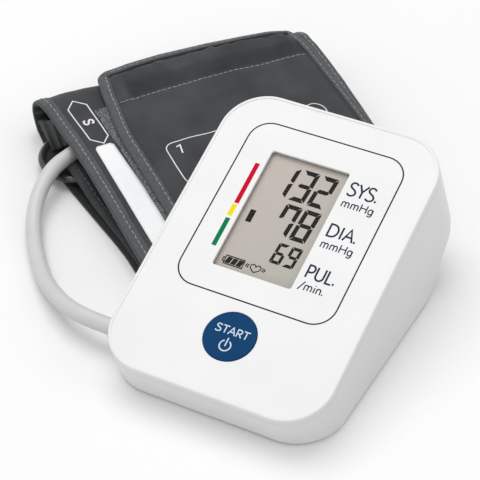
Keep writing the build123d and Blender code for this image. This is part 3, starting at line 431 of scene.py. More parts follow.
def pile_material():
    """Loop pile: tangled short threads."""
    shader = Shader("pile", (0.075, 0.082, 0.085), 0.8, Sheen_Weight=0.2, Sheen_Roughness=0.5, Specular_IOR_Level=0.2)
    threads = shader.noise(shader.place(turn=-CUFF_TURN), 1000.0, 3.0, 0.7)
    shader.color(shader.mix(shader.ramp(threads, 0, 1, 0.35, 0.65), (0.020, 0.023, 0.024), (0.26, 0.28, 0.29)))
    shader.bump(threads, 0.0004)


def window_material():
    """A clear plate: see-through, with a faint shine."""
    shader = Shader("window", (0.97, 0.97, 0.95), 0.08, Alpha=0.008, IOR=1.35, Specular_IOR_Level=0.2)
    where = shader.place()
    shader.roughness(shader.ramp(shader.noise(where, 25.0), 0.05, 0.12))
    shader.bump(shader.noise(where, 90.0, 1.0), 0.000004)


def board_material():
    """Solder mask over tracks that run at right angles."""
    mask = (0.02, 0.12, 0.05)
    shader = Shader("board", mask, 0.35)
    tracks = shader.add("TexBrick", {"Scale": 260.0, "Mortar Size": 0.06}, {"Vector": shader.place()})
    shader.color(shader.mix(tracks.outputs["Fac"], mask, (0.05, 0.24, 0.10)))
    shader.bump(tracks.outputs["Fac"], 0.00004)


def cell_material():
    """A battery's glossy dark wrap."""
    wrap = (0.03, 0.08, 0.05)
    shader = Shader("cell", wrap, 0.28, Coat_Weight=0.5)
    broad = shader.noise(shader.place(), 200.0)
    shader.color(shader.mix(shader.ramp(broad, 0, 1), wrap, (0.05, 0.12, 0.08)))
    shader.roughness(shader.ramp(broad, 0.22, 0.36))


def lcd_material():
    """The display's warm grey ground with painted light, paler and warmer to its upper left and darker and cooler to
    its lower right, with the grain of its rear film.
    """
    shader = Shader("lcd", (0.50, 0.46, 0.41), 0.42, Specular_IOR_Level=0.2)
    where = shader.place()
    across = shader.add("VectorMath", {1: (22.0, -14.0, 0.0)}, {0: where}, operation="DOT_PRODUCT")
    broad = shader.noise(where, 18.0, 2.0)
    # painted light: a gradient from the paler upper left to the darker lower right
    painted_light_fade = shader.ramp(across.outputs["Value"], 0, 1, -0.95, 0.25)
    shader.color(shader.mix(painted_light_fade, (0.535, 0.475, 0.430), (0.462, 0.450, 0.400)))
    shader.roughness(shader.ramp(broad, 0.38, 0.48))
    shader.bump(shader.noise(where, 4000.0, 1.0), 0.000004)


def make_materials():
    """Each finish: its name, two colours, roughness, and what makes its surface, as its maker names it."""
    varied("shell", 0.86, 0.845, 0.38, 30, 2600, 12)
    varied("feet", 0.28, 0.24, 0.75, 200, 1800, 50)
    window_material()
    lcd_material()
    varied("button", (0.0022, 0.053, 0.162), (0.0020, 0.049, 0.150), 0.34, 60, 2600, 12, Specular_IOR_Level=0.05)
    steel_material()
    board_material()
    varied("black", (0.018, 0.018, 0.019), (0.026, 0.026, 0.027), 0.45, 120, 2200, 30)
    varied("white", (0.68, 0.68, 0.66), (0.62, 0.62, 0.60), 0.45, 80, 2000, 30)
    varied("silicone", (0.62, 0.62, 0.58), (0.55, 0.55, 0.51), 0.40, 150, 900, 30,
           Subsurface_Weight=0.2, Subsurface_Radius=(0.002, 0.002, 0.002))
    cell_material()
    varied("plug", 0.52, 0.47, 0.42, 120, 2200, 30)
    varied("hose", 0.66, 0.61, 0.40, 70, 900, 40, Coat_Weight=0.15, Coat_Roughness=0.3)
    varied("seal", 0.03, 0.045, 0.7, 300, 2400, 30)
    varied("ring", (0.026, 0.026, 0.027), (0.034, 0.034, 0.035), 0.22, 90, 500, 20, 0.05,
           Coat_Weight=0.4, Coat_Roughness=0.12, Specular_IOR_Level=0.3)
    woven("nylon", (0.038, 0.040, 0.045), (0.072, 0.074, 0.081), 0.00045, 0.00006)
    woven("strap", (0.012, 0.012, 0.013), (0.026, 0.026, 0.028), 0.0008, 0.00010)
    woven("lining", (0.012, 0.014, 0.014), (0.024, 0.028, 0.027), 0.0007, 0.00008)
    woven("fold", (0.030, 0.036, 0.035), (0.062, 0.074, 0.071), 0.0007, 0.00008)
    ribbed("binding", (0.075, 0.081, 0.086), (0.150, 0.161, 0.169))
    # a darker copy of the binding: painted shade for the middle layer's tape
    ribbed("binding_painted_shade", (0.036, 0.038, 0.041), (0.078, 0.082, 0.087))
    pile_material()
    varied("thread", (0.42, 0.43, 0.44), (0.28, 0.29, 0.30), 0.6, 600, 3000, 50)
    # a darker copy of the thread: painted shade for the middle layer's stitches
    varied("thread_painted_shade", (0.18, 0.185, 0.19), (0.11, 0.115, 0.12), 0.6, 600, 3000, 50)
    ink("ink_navy", (0.010, 0.020, 0.062), (0.014, 0.026, 0.074), 0.45)
    ink("ink_slate", (0.015, 0.027, 0.060), (0.020, 0.034, 0.072), 0.45)
    ink("ink_red", (0.58, 0.002, 0.018), (0.62, 0.004, 0.024))
    ink("ink_yellow", (0.92, 0.78, 0.004), (0.88, 0.74, 0.006))
    ink("ink_green", (0.002, 0.200, 0.078), (0.003, 0.220, 0.088))
    varied("ink_white", 0.80, (0.74, 0.75, 0.75), 0.5, 300, 1800, 30)
    varied("band", (0.95, 0.95, 0.96), (0.91, 0.92, 0.93), 0.45, 40, 1200, 20)
    varied("ink_pale", (0.60, 0.74, 0.88), (0.66, 0.78, 0.90), 0.45, 300, 1800, 10)
    varied("lcd_ink", (0.006, 0.004, 0.002), (0.009, 0.006, 0.004), 0.5, 300, 3000, 4, Specular_IOR_Level=0.04)


NODE_MATERIALS = {
    "shell": "top_case bottom_case battery_cover",
    "feet": "rubber_feet",
    "steel": "case_screws board_screws pump_motor exhaust_valve cell_contacts cell_springs jack_pin",
    "window": "display_window",
    "lcd": "lcd_panel",
    "white": "lcd_holder pump_head pump_cradle air_manifold",
    "black": "connector_strips start_switch buzzer controller_chip pressure_sensor dc_jack switch_plunger",
    "board": "circuit_board",
    "silicone": "inner_tubes",
    "plug": "air_socket air_plug hose_port",
    "cell": "aa_cells",
    "button": "start_button",
    "ring": "d_ring",
    "seal": "plug_seal",
}


def dress_nodes():
    for key, names in NODE_MATERIALS.items():
        for name in names.split():
            slots = NODES[name].data.materials
            slots.clear()
            slots.append(MATERIALS[key])


# ============ camera, light and floor

def make_camera():
    camera = link("camera", bpy.data.cameras.new("camera"))
    right = Vector(CAMERA_RIGHT).normalized()
    up = Vector(CAMERA_UP).normalized()
    turn = Matrix((right, up, right.cross(up))).transposed().to_4x4()
    camera.matrix_world = Matrix.Translation(CAMERA_AT_M) @ turn
    camera.data.sensor_width = 36.0
    camera.data.lens = LENS
    camera.data.clip_start = 0.02
    camera.data.clip_end = 50.0
    scene = bpy.context.scene
    scene.camera = camera
    scene.view_settings.view_transform = "Standard"


def shade_white(owner, output, shader, bounced):
    """Makes a world or a material white where it is seen, and grey for the light that bounces off it."""
    owner.use_nodes = True
    tree = owner.node_tree
    tree.nodes.clear()
    rays = tree.nodes.new("ShaderNodeLightPath").outputs
    seen = rays["Is Camera Ray"]
    for kind in ("Glossy", "Transmission"):
        either = tree.nodes.new("ShaderNodeMath")
        either.operation = "MAXIMUM"
        tree.links.new(seen, either.inputs[0])
        tree.links.new(rays[f"Is {kind} Ray"], either.inputs[1])
        seen = either.outputs[0]
    mixed = tree.nodes.new("ShaderNodeMixShader")
    tree.links.new(seen, mixed.inputs[0])
    for slot, shade in ((1, bounced), (2, 1.0)):
        flat = tree.nodes.new(shader)
        flat.inputs["Color"].default_value = (shade, shade, shade, 1)
        tree.links.new(flat.outputs[0], mixed.inputs[slot])
    tree.links.new(mixed.outputs[0], tree.nodes.new(output).inputs["Surface"])


def make_world():
    world = bpy.context.scene.world = bpy.data.worlds.new("studio")
    shade_white(world, "ShaderNodeOutputWorld", "ShaderNodeBackground", AMBIENT)


def make_floor():
    """A wide floor that shows as white to the camera and keeps the shadow."""
    mesh = bpy.data.meshes.new("floor")
    corners = box(-FLOOR_REACH_M, FLOOR_REACH_M, -FLOOR_REACH_M, FLOOR_REACH_M)
    mesh.from_pydata([(x, y, FLOOR_AT_M) for x, y in corners], [], [(0, 1, 2, 3)])
    material = bpy.data.materials.new("floor")
    shade_white(material, "ShaderNodeOutputMaterial", "ShaderNodeBsdfDiffuse", FLOOR_SHADE)
    mesh.materials.append(material)
    link("floor", mesh)


def make_lamps():
    for name, at, aim, size, power in LAMPS_M:
        light = bpy.data.lights.new(name, "AREA")
        light.shape = "SQUARE"
        light.size = size
        light.energy = power
        lamp = link(name, light)
        lamp.location = at
        lamp.rotation_euler = (Vector(aim) - Vector(at)).to_track_quat("-Z", "Y").to_euler()


# ============ hose

def make_hose():
    data = bpy.data.curves.new("air_line", "CURVE")
    data.dimensions = "3D"
    spline = data.splines.new("NURBS")
    spline.points.add(len(HOSE_ROUTE_M) - 1)
    for point, place in zip(spline.points, HOSE_ROUTE_M):
        point.co = (*place, 1.0)
    spline.order_u = 3
    spline.use_endpoint_u = True
    spline.resolution_u = 12
    data.bevel_depth = HOSE_R * MM
    data.bevel_resolution = 8
    data.use_fill_caps = True
    data.materials.append(MATERIALS["hose"])
    hose = link("air_line", data)
    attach(hose, "cuff")
    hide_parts("air_hose")
    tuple(HOSE_ROUTE_M[0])


# ============ letters

S_SHAPE = curve_through([(53, 86), (43, 96), (29, 100), (13, 94), (6, 77), (14, 62), (30, 53), (46, 42), (55, 25),
                         (46, 7), (27, 0), (12, 3), (2, 13)])

S_CURLED = curve_through([(54, 76), (49, 93), (28, 100), (11, 93), (4, 77), (12, 62), (30, 52), (48, 42), (57, 25),
                          (48, 7), (28, 0), (10, 6), (3, 24)])

# Strokes in a box 100 units high, each letter with its advance width.
LETTERS = {
    "S": (66, [S_SHAPE]),
    "Y": (66, [[(0, 100), (30, 47)], [(62, 100), (30, 47), (30, 0)]]),
    "D": (88, [[(9, 0), (9, 100), (34, 100)] + arc(34, 50, 40, 50, 90, -90)[1:] + [(9, 0)]]),
    "I": (34, [[(12, 0), (12, 100)]]),
    "A": (76, [[(0, 0), (34, 100), (68, 0)], [(13, 36), (55, 36)]]),
    "P": (66, [[(9, 0), (9, 100), (30, 100)] + arc(30, 72, 26, 28, 90, -90)[1:] + [(9, 44)]]),
    "U": (82, [[(9, 100), (9, 32)] + arc(38, 32, 29, 32, 180, 360)[1:] + [(67, 100)]]),
    "L": (58, [[(9, 100), (9, 0), (50, 0)]]),
    "T": (68, [[(0, 100), (62, 100)], [(31, 100), (31, 0)]]),
    "R": (68, [[(9, 0), (9, 100), (28, 100)] + arc(28, 73, 25, 27, 90, -90)[1:] + [(9, 46)],
               [(30, 46), (58, 0)]]),
    "H": (84, [[(9, 0), (9, 100)], [(67, 0), (67, 100)], [(9, 52), (67, 52)]]),
    "m": (92, [[(9, 0), (9, 66)], arc(25.5, 46, 16.5, 20, 160, 0, 8) + [(42, 0)],
               arc(58.5, 46, 16.5, 20, 180, 0, 8) + [(75, 0)]]),
    "n": (60, [[(9, 0), (9, 66)], arc(27, 44, 18, 22, 165, 0, 8) + [(45, 0)]]),
    "i": (26, [[(10, 0), (10, 66)], [(10, 86), (10, 96)]]),
    "g": (60, [arc(25, 33, 20, 33, 0, 360, 16), [(46, 66), (46, -6)] + arc(26, -6, 20, 22, 0, -150, 8)[1:]]),
    "/": (48, [[(0, -10), (42, 104)]]),
    ".": (26, [[(8, 0), (8, 16)]]),
    "2": (60, [curve_through([(4, 80), (14, 96), (28, 100), (44, 92), (48, 76), (40, 56), (4, 2)]) + [(52, 2)]]),
}


def write(text, left, base, height, width):
    """Strokes of a word as long as width, its baseline at base."""
    size = height / 100
    stretch = width / (sum(LETTERS[c][0] for c in text[:-1]) + LETTERS[text[-1]][0] * 0.8)
    strokes = []
    x = 0.0
    for c in text:
        advance, lines = LETTERS[c]
        strokes += [[(left + (x + px) * stretch, base + py * size) for px, py in line] for line in lines]
        x += advance
    return strokes


# ============ print on the face

def above(base):
    """Places at a height over a part of the face."""
    return lambda x, y, h: face_point(x, y, base + h)


on_panel, on_lcd, on_button = above(PANEL), above(LCD_TOP), above(BUTTON_TOP)


def make_face_print():
    blue = {"body": "monitor", "slot": "button_blue"}
    ribbons("face_frame_line", [round_box(-35.6, 36.1, 43.7, 127.4, 9.5)], 0.62, on_panel, "ink_navy", **blue)
    words = write("SYS.", 16.7, 104.6, 6.5, 13.7) + write("DIA.", 16.7, 83.8, 5.8, 13.6)
    words += write("PUL.", 16.7, 62.9, 5.9, 13.6)
    ribbons("reading_names", words, 0.84, on_panel, "ink_slate", **blue)
    units = write("mmHg", 16.6, 98.7, 3.75, 14.3) + write("mmHg", 16.6, 77.9, 3.75, 14.3)
    units += write("/min.", 16.6, 57.1, 3.75, 11.3)
    ribbons("reading_units", units, 0.55, on_panel, "ink_slate", **blue)
    for color, left, low, high in (("red", -26.5, 85.4, 106.4), ("yellow", -26.7, 78.9, 84.7),
                                   ("green", -26.5, 63.6, 77.7)):
        plates(f"level_{color}", [box(left, left + 2.1, low, high)], on_panel, f"ink_{color}", body="monitor",
               slot="shell_white")


def make_button_print():
    pale = {"body": "start_button", "slot": "shell_white"}
    symbol = [arc(0.4, 22.9, 2.4, 2.4, 118, 422, 28), [(0.4, 22.6), (0.4, 26.5)]]
    ribbons("start_word", write("START", -6.9, 28.0, 3.35, 14.6), 0.50, on_button, "ink_pale", **pale)
    ribbons("power_symbol", symbol, 0.54, on_button, "ink_pale", **pale)


DIGIT_SLANT = 0.07
SEGMENTS = {"1": "bc", "2": "abged", "3": "abgcd", "6": "afgedc", "7": "abcf", "8": "abcdefg", "9": "abfgcd"}


def digit(symbol, left, middle, width, half, thick):
    """The lit segments of one display digit, as polygons. left is its left edge at half height."""
    gap = 0.07 * thick
    bar = 0.46 * thick
    tip = 0.44 * thick

    def level(y, shorten_top, shorten_bottom):
        inset_top = gap + (shorten_top - 0.5) * thick
        inset_low = gap + (shorten_bottom - 0.5) * thick
        return [(inset_low, y - thick / 2), (width - inset_low, y - thick / 2),
                (width - inset_top, y + thick / 2), (inset_top, y + thick / 2)]

    def post(x, away, inner):
        """An upright segment from the middle bar to the top (away is 1) or to the bottom (away is -1)."""
        side = bar * inner
        near = gap + 0.10 * thick
        end = half + 0.34 * thick
        return [(x - side, away * near), (x, away * near), (x + side, away * (near + 0.34 * thick)),
                (x + side, away * (end - 0.70 * thick)), (x - side, away * end)]

    shapes = {
        "a": level(half, 0.15, 1.0),
        "d": level(-half, 1.0, 0.15),
        "g": [(0, 0), (tip, bar), (width - tip, bar), (width, 0), (width - tip, -bar), (tip, -bar)],
        "f": post(0, 1, 1),
        "e": post(0, -1, 1),
        "b": post(width, 1, -1),
        "c": post(width, -1, -1),
    }
    outlines = []
    for name in SEGMENTS[symbol]:
        outline = [(left + x + DIGIT_SLANT * y, middle + y) for x, y in shapes[name]]
        area = sum(x0 * y1 - x1 * y0 for (x0, y0), (x1, y1) in zip(outline, outline[1:] + outline[:1]))
        outlines.append(outline if area > 0 else outline[::-1])
    return outlines


def make_display_signs():
    dark = {"rise": INK_LCD, "body": "monitor", "slot": "lcd_glass"}
    outlines = []
    for row, middle, half in (("132", 103.5, 6.85), ("78", 85.8, 6.8)):
        for k, symbol in enumerate(row[::-1]):
            outlines += digit(symbol, 3.4 - 8.8 * k, middle, 5.6, half, 2.1)
    outlines += digit("6", -0.1, 70.3, 3.65, 4.3, 1.5) + digit("9", 5.85, 70.3, 3.65, 4.3, 1.5)
    outlines.append(box(-19.2, -16.65, 79.9, 86.1))
    for left in (-18.6, -16.0, -13.4):
        outlines.append([(left, 58.9), (left + 2.2, 58.9), (left + 2.9, 62.0), (left + 0.7, 62.0)])
    plates("display_digits", outlines, on_lcd, "lcd_ink", **dark)
    battery = box(-18.9, -10.4, 58.5, 62.4)
    lines = [battery + battery[:1], [(-18.9, 59.5), (-19.8, 59.5), (-19.8, 61.2), (-18.9, 61.2)]]
    heart = [(-4.85, 58.6), (-6.0, 59.3), (-7.05, 60.4), (-7.1, 61.5), (-6.3, 62.1), (-5.4, 61.9), (-4.85, 61.2)]
    other = [(-9.7 - x, y) for x, y in reversed(heart)]
    lines.append(curve_through(heart) + curve_through(other)[1:-1] + heart[:1])
    for side, centre in ((-1, -7.6), (1, -2.2)):
        for reach in (0.5, 1.3):
            x = centre + side * reach
            lines.append([(x, 59.9), (x + side * 0.3, 60.8), (x, 61.7)])
    ribbons("display_symbols", lines, 0.48, on_lcd, "lcd_ink", **dark)


# ============ cuff surfaces

def uneven(v, u, seed, size):
    """Slow unevenness of cloth, about -size to size."""
    return size * (rough(v * 0.045, u * 0.045, seed) + 0.45 * rough(v * 0.13, u * 0.13, seed + 7))


def near_end(u):
    """How far the cuff runs towards the unit, which it stays clear of, across the cuff."""
    return between(u, [(12, 125.8), (20, 119.8), (44, 101.9), (52, 96), (56, 93.4), (60, 91.3), (64, 90.3),
                       (68, 90), (72, 90.4), (76, 91.6), (80, 93.9), (84, 97), (88, 101.4), (92, 107),
                       (106, 125.8)])


def section(s, u=0.0):
    """The sleeve's outer line from the side, from s = 0 at the near end's top round the far fold to 3 at its bottom.

    Gives v, z and the way outwards in v and z."""
    run = near_end(u)
    if s <= 1:
        v = run + (FOLD_R - run) * s
        return v, cuff_top(v), 0.104, 0.995
    if s <= 2:
        turn = radians(96 + (s - 1) * 174)
        nv, nz = cos(turn), sin(turn)
        return FOLD_R + FOLD_R * nv, FOLD_R + FOLD_R * nz, nv, nz
    v = FOLD_R + (run - FOLD_R) * (s - 2)
    return v, 0.0, 0.0, -1.0


SLEEVE_STEPS = steps(0, 1, 44)[:-1] + steps(1, 2, 22)[:-1] + steps(2, 3, 30)


def left_edge(s):
    """The sleeve's left edge flares outwards over the far fold and stays out below it."""
    v = section(s)[0]
    if s < 1:
        return between(v, [(11, -3.4), (17, -2.4), (24, -2), (38, -0.8), (60, 0), (126, 0)])
    if s < 2:
        return between(s, [(1, -3.4), (1.25, -4.6), (1.7, -4.3), (2, -4.5)])
    return between(v, [(0, -5), (12, -4.6), (22, -5), (32, -6.4), (42, -7.1), (53, -5.9), (73, -4), (93, -2),
                       (105, -1.2), (116, -1.4), (126, -0.8)])


def right_edge(s):
    """The right edge rounds inwards over the far fold."""
    if s < 1:
        return between(s, [(0, 134.2), (0.38, 134.7), (0.52, 135.6), (0.66, 136.4), (0.93, 136.4), (1, 135.6)])
    return between(s, [(1, 135.6), (1.15, 134.8), (1.4, 133), (2, 132), (2.2, 134), (3, 134.2)])


def fold_reach(s, u):
    """How far the cloth at the far fold lies beyond its straight line."""
    near = smooth((s - 0.55) / 0.45) if s < 1 else smooth((2.35 - s) / 0.35)
    return near * between(u, [(-5, 4.2), (8, 4.2), (19, 3.4), (28, 2.4), (60, 0.3), (100, 0), (122, -0.6), (136, -2)])


def sleeve_point(s, u, depth):
    v, z, nv, nz = section(s, u)
    if s < 1:
        swell = uneven(v, u, 3.0, 0.45)
    elif s < 2:
        swell = uneven(s * 30, u, 3.0, 0.6)
    else:
        swell = 0.0
        z += 0.2
    reach = swell - depth
    v += nv * reach - fold_reach(s, u)
    return cuff_point(v, u, max(0.15, z + nz * reach))


def make_sleeve():
    """The outer nylon and the lining inside it, both folded round the far fold."""

    def place(s, share, layer):
        low = left_edge(s)
        u = low + (right_edge(s) - low) * share
        thickness = 1.6 + 1.6 * smooth((min(u, CUFF_W - u) - 2) / 16)
        if s < 1:
            thickness += 1.6 * smooth((section(s)[0] - 60) / 60)
        pleat = 0.9 * abs(sin(s * 17.0)) * smooth(1 - abs(s - 1.45) / 0.75) * smooth((30 - u) / 24)
        return sleeve_point(s, u, layer * thickness + (pleat if layer == 1 else 0.0))

    across = steps(0, 1, 34)
    sleeve = closed_sheet("cuff_sleeve", place, (0.0, 0.5), SLEEVE_STEPS, across, "nylon")
    lining = closed_sheet("cuff_inside", place, (0.5, 1.0), SLEEVE_STEPS, across, "lining", slot="lining_grey")
    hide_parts("cuff_wrap", "cuff_bladder")
    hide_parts("cuff_lining")


# ============ flap

def flap_left(v):
    return between(v, [(-2, 27.7), (5, 27.2), (8, 26.7), (17, 25.1), (33, 23.4), (42, 22.2), (51, 21.6), (86, 21.9),
                       (126, 21.4)])


def flap_right(v):
    return between(v, [(-2, 128.4), (6, 128.9), (11, 129.7), (18, 131.3), (26, 132.2), (60, 132.8), (126, 133.2)])


def rounding(share, reach, size):
    """How far a round corner pulls the far edge back, near one end of the edge."""
    return size * (1 - sqrt(max(0.0, 1 - max(0.0, 1 - share / reach) ** 2)))


def flap_far_line(u):
    """The far edge's place between its corners, seen from a place across the cuff."""
    return between(u, [(18, -1), (30, -1.3), (38, -1.8), (44, -2.5), (51, -2.6), (61, -2.7), (86, -1),
                       (105, 1.2), (111, 2.1), (116, 2.8), (119, 3.4), (122, 4.4), (125, 5.6), (131, 7.6)])


def flap_far(share):
    """How far out the far edge lies, corners included, across the flap."""
    return flap_far_line(FLAP_U0 + FLAP_SPAN * share) + rounding(share, 0.06, 6.0) + rounding(1 - share, 0.025, 2.8)


def flap_under(v, u):
    """Underside height: on the pile, then over the far fold, where its edge droops."""
    return cuff_top(v) + PATCH_T - 1.6 * smooth((flap_far_line(u) + 9.5 - v) / 9.0)


def flap_place(t, share):
    """v and u on the flap: t from 0 at its far edge to 1 at the near end, share from its left to its right."""
    far = flap_far(share)
    v = far + (CUFF_RUN - far) * t
    u = flap_left(v) + (flap_right(v) - flap_left(v)) * share
    return far + (near_end(u) - far) * t, u


def tape_share(share):
    """How much of its full width the tape shows at the far edge, which rolls down towards its right."""
    return between(share, [(0, 1), (0.3, 0.88), (0.7, 0.74), (0.9, 0.55), (0.97, 0.42), (1, 0.5)])


def flap_top(v, u):
    """Height of the flap's upper surface: flat where the tape lies, swelling and puckered beside it."""
    left = u - flap_left(v)
    right = flap_right(v) - u
    far = v - flap_far_line(u)
    tape_far = FLAP_TAPE_W * tape_share((u - FLAP_U0) / FLAP_SPAN)
    scallop = 0.7 * rough(u * 0.17, 0.5, 9.0) + 1.1 * rough(u * 0.31, 0.2, 3.0)
    edge = min(left - 5.0, right - 5.0 * TAPE_RIGHT, far - tape_far + 0.1 + scallop)
    seam = v - hem_line(u)
    swell = 1.3 + 1.1 * smooth(1 - abs(seam + 15) / 13) - 0.75 * exp(-(seam / 2.0) ** 2)
    swell += 2.8 * rough(u * 0.15, v * 0.04, 1.0) * smooth(1 - (far - 5) / 18)
    swell += 1.9 * rough(u * 0.36 + v * 0.1, v * 0.07, 6.0) * smooth(1 - (far - 4) / 9)
    swell += 1.8 * rough(v * 0.07, u * 0.03, 2.0) * smooth(1 - (min(left, right) - 5) / 16)
    swell += uneven(v, u, 11.0, 0.75) * smooth((edge + 1) / 10)
    return flap_under(v, u) + FLAP_T + max(0.0, swell) * smooth(edge / 5.0)


def hem_line(u):
    """The stitched line across the flap."""
    return between(u, [(20, 23.9), (29, 24), (51, 24.8), (79, 24.3), (93, 25.3), (99, 26.3), (116, 27.4), (131, 28.1)])


def flap_painted_light(v, u):
    """Painted light on the flap's nylon: painted shade along the seam of its hem pocket and a painted sheen in the
    pocket's left corner.
    """
    beyond = hem_line(u) - v
    wander = 2.5 * rough(u * 0.06, v * 0.05, 4.0)
    pocket = smooth((beyond - 0.6) / 1.6)
    # the pocket's left corner gets a painted sheen
    corner = 1 - smooth((u - flap_left(v) - 9.5 - 2.0 * wander) / 3.5)
    # the rest of the pocket gets painted shade along the hem's seam
    dark = 1 - smooth((beyond - 7.5 - wander) / 5.5)
    return pocket * (0.8 * corner - dark * (1 - corner))


def make_flap():
    along = [0.0, 0.008, 0.02, 0.035] + steps(0.055, 1, 64)
    across = [0.0, 0.012, 0.03] + steps(0.055, 0.945, 60) + [0.97, 0.988, 1.0]

    def place(t, share, layer):
        v, u = flap_place(t, share)
        return cuff_point(v, u, flap_top(v, u) if layer else flap_under(v, u) + 0.05)

    flap = closed_sheet("cuff_end", place, (1, 0), along, across, "nylon")
    painted_lights = [flap_painted_light(*flap_place(t, share)) for t in along for share in across]
    # the flap's painted shade and sheen, kept on the mesh for the nylon to read
    flap.data.attributes.new("painted_light", "FLOAT", "POINT").data.foreach_set("value", painted_lights + [0.0] * len(painted_lights))
    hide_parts("cuff_flap")


def make_pile():
    """The pile patch: fine loops show along the flap's left side."""
    seen = 10.0
    start = 22.0

    def place(share, reach, layer):
        u = between(share, [(0, 18), (0.2, 18.4), (0.3, 19.1), (1, 19.7)]) + reach
        v = start + (min(110.0, near_end(u) - 0.5) - start) * share
        if not layer:
            return cuff_point(v, u, cuff_top(v) - 0.7)
        fuzz = 0.5 * rough(v * 1.1, u * 1.1, 0.0) + 0.3 * rough(v * 2.3, u * 1.9, 5.0) if reach < seen else 0.0
        ragged = 0.5 * rough(v * 0.6, 2.0, 3.0) if reach == 0 else 0.0
        return cuff_point(v, u + ragged, cuff_top(v) + 0.5 + fuzz)

    pile = closed_sheet("cuff_pile", place, (1, 0), steps(0, 1, 220), steps(0, seen, 28) + [20, 50, 80, 100], "pile",
                        slot="pile_grey")
    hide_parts("pile_patch")


# ============ bindings and stitches

def tape(half, width):
    """A folded tape's profile round an edge; half is half the thickness of what it binds."""
    top = half + 0.42
    return [(width, half - 0.15), (width, half + 0.2), (width - 0.5, top), (width * 0.5, top + 0.12), (0.7, top - 0.05),
            (-0.15, half * 0.7), (-0.45, 0.0), (-0.15, -half * 0.7), (0.7, -top + 0.05), (width * 0.5, -top),
            (width - 0.5, -top), (width, -half - 0.1)]


def stitches(name, frames, inset, rise, length=2.7, gap=0.75, thick=0.22, thread="thread"):
    """Short threads along a seam, each sunk at its ends and a little askew."""
    distance = [0.0]
    for (p, _, _), (q, _, _) in zip(frames, frames[1:]):
        distance.append(distance[-1] + (q - p).length / MM)

    def at(run):
        """The frame at a distance along the seam."""
        k = 0
        while k < len(distance) - 2 and distance[k + 1] < run:
            k += 1
        share = (run - distance[k]) / max(1e-6, distance[k + 1] - distance[k])
        point, inward, up = (a.lerp(b, share) for a, b in zip(frames[k], frames[k + 1]))
        return point, inward, up.normalized()

    points, faces = [], []
    run = gap
    count = 0
    while run + length < distance[-1]:
        side = (0.16 if count % 2 else -0.16) + 0.10 * rough(count * 0.7, 0.5, 2.0)
        faces += tube_faces(4, 6, len(points))
        for share, lift, size in ((0.0, -0.12, 0.55), (0.25, 0.06, 1.0), (0.75, 0.06, 1.0), (1.0, -0.12, 0.55)):
            point, inward, up = at(run + share * length)
            centre = point + inward * (inset + side * (share - 0.5) * 2) * MM + up * (rise + lift) * MM
            for k in range(6):
                turn = radians(60 * k)
                points.append(centre + (inward * cos(turn) + up * sin(turn)) * thick * size * MM)
        run += length + gap
        count += 1
    return new_object(name, points, faces, thread, slot="plug_grey")


def frames_along(places, ups=None, flip=1):
    """Frames from points: inward lies to the left of the run (or right, with flip -1), along the surface."""
    frames = []
    for k, (p, up) in enumerate(zip(places, ups or [UP] * len(places))):
        way = (places[min(len(places) - 1, k + 1)] - places[max(0, k - 1)]).normalized()
        inward = (up.cross(way) * flip).normalized()
        frames.append((p, inward, way.cross(inward).normalized() * flip))
    return frames


def outward(s):
    _, _, nv, nz = section(s)
    return (cuff_point(nv, 0, nz) - cuff_point(0, 0, 0)).normalized()


def make_sleeve_bindings():
    """Tape round both ends of the sleeve, over the top and round the far fold."""
    upper = [s for s in SLEEVE_STEPS if s <= 1.86]
    for name, edge, flip, inset in (("left", left_edge, -1, 3.4), ("right", right_edge, 1, 2.2)):
        places = [sleeve_point(s, edge(s), 0.8) for s in upper]
        frames = frames_along(places, [outward(s) for s in upper], flip)
        sweep(f"binding_{name}", frames, tape(0.8, TAPE_W), "binding")
        stitches(f"stitches_{name}", frames, inset, 1.32)


def make_flap_binding():
    """Tape round the flap's left side, far edge and right side."""
    sides = 47
    run = [(1 - t, 0.0) for t in steps(0, 0.965, sides - 1)]
    run += [(0.0, s) for s in steps(0.0, 0.085, 10) + steps(0.085, 0.915, 50)[1:-1] + steps(0.915, 1.0, 10)]
    run += [(t, 1.0) for t in steps(0.035, 1.0, sides - 1)]
    places, tilts = [], []
    for t, share in run:
        v, u = flap_place(t, share)
        places.append(cuff_point(v, u, flap_under(v, u) + 0.95))
        droop = 0.2 * smooth((flap_far_line(u) + 8 - v) / 8)
        tilts.append(Vector((-V_DIR[0] * droop, -V_DIR[1] * droop, 1)).normalized())

    def width(t, share):
        if t > 0:
            return 1.0 if share == 0 else TAPE_RIGHT
        return max(tape_share(share), smooth((share - 0.985) / 0.015) * TAPE_RIGHT)

    frames = [(p, inward * width(*place), up) for place, (p, inward, up) in zip(run, frames_along(places, tilts, -1))]
    sweep("binding_flap", frames, tape(0.85, FLAP_TAPE_W), "binding")
    corner = sides + 7
    stitches("stitches_flap_left", frames[:corner], 3.6, 1.38)
    stitches("stitches_flap_far", frames[corner:-corner], 3.5, 1.36, thick=0.15)
    stitches("stitches_flap_right", frames[-corner:], 3.5, 1.38)


def make_hem_stitches():
    places = [cuff_point(hem_line(u), u, flap_top(hem_line(u), u)) for u in steps(24.5, 127.0, 60)]
    stitches("stitches_hem", frames_along(places), 0.0, 0.08, length=2.4, gap=0.3, thick=0.2)


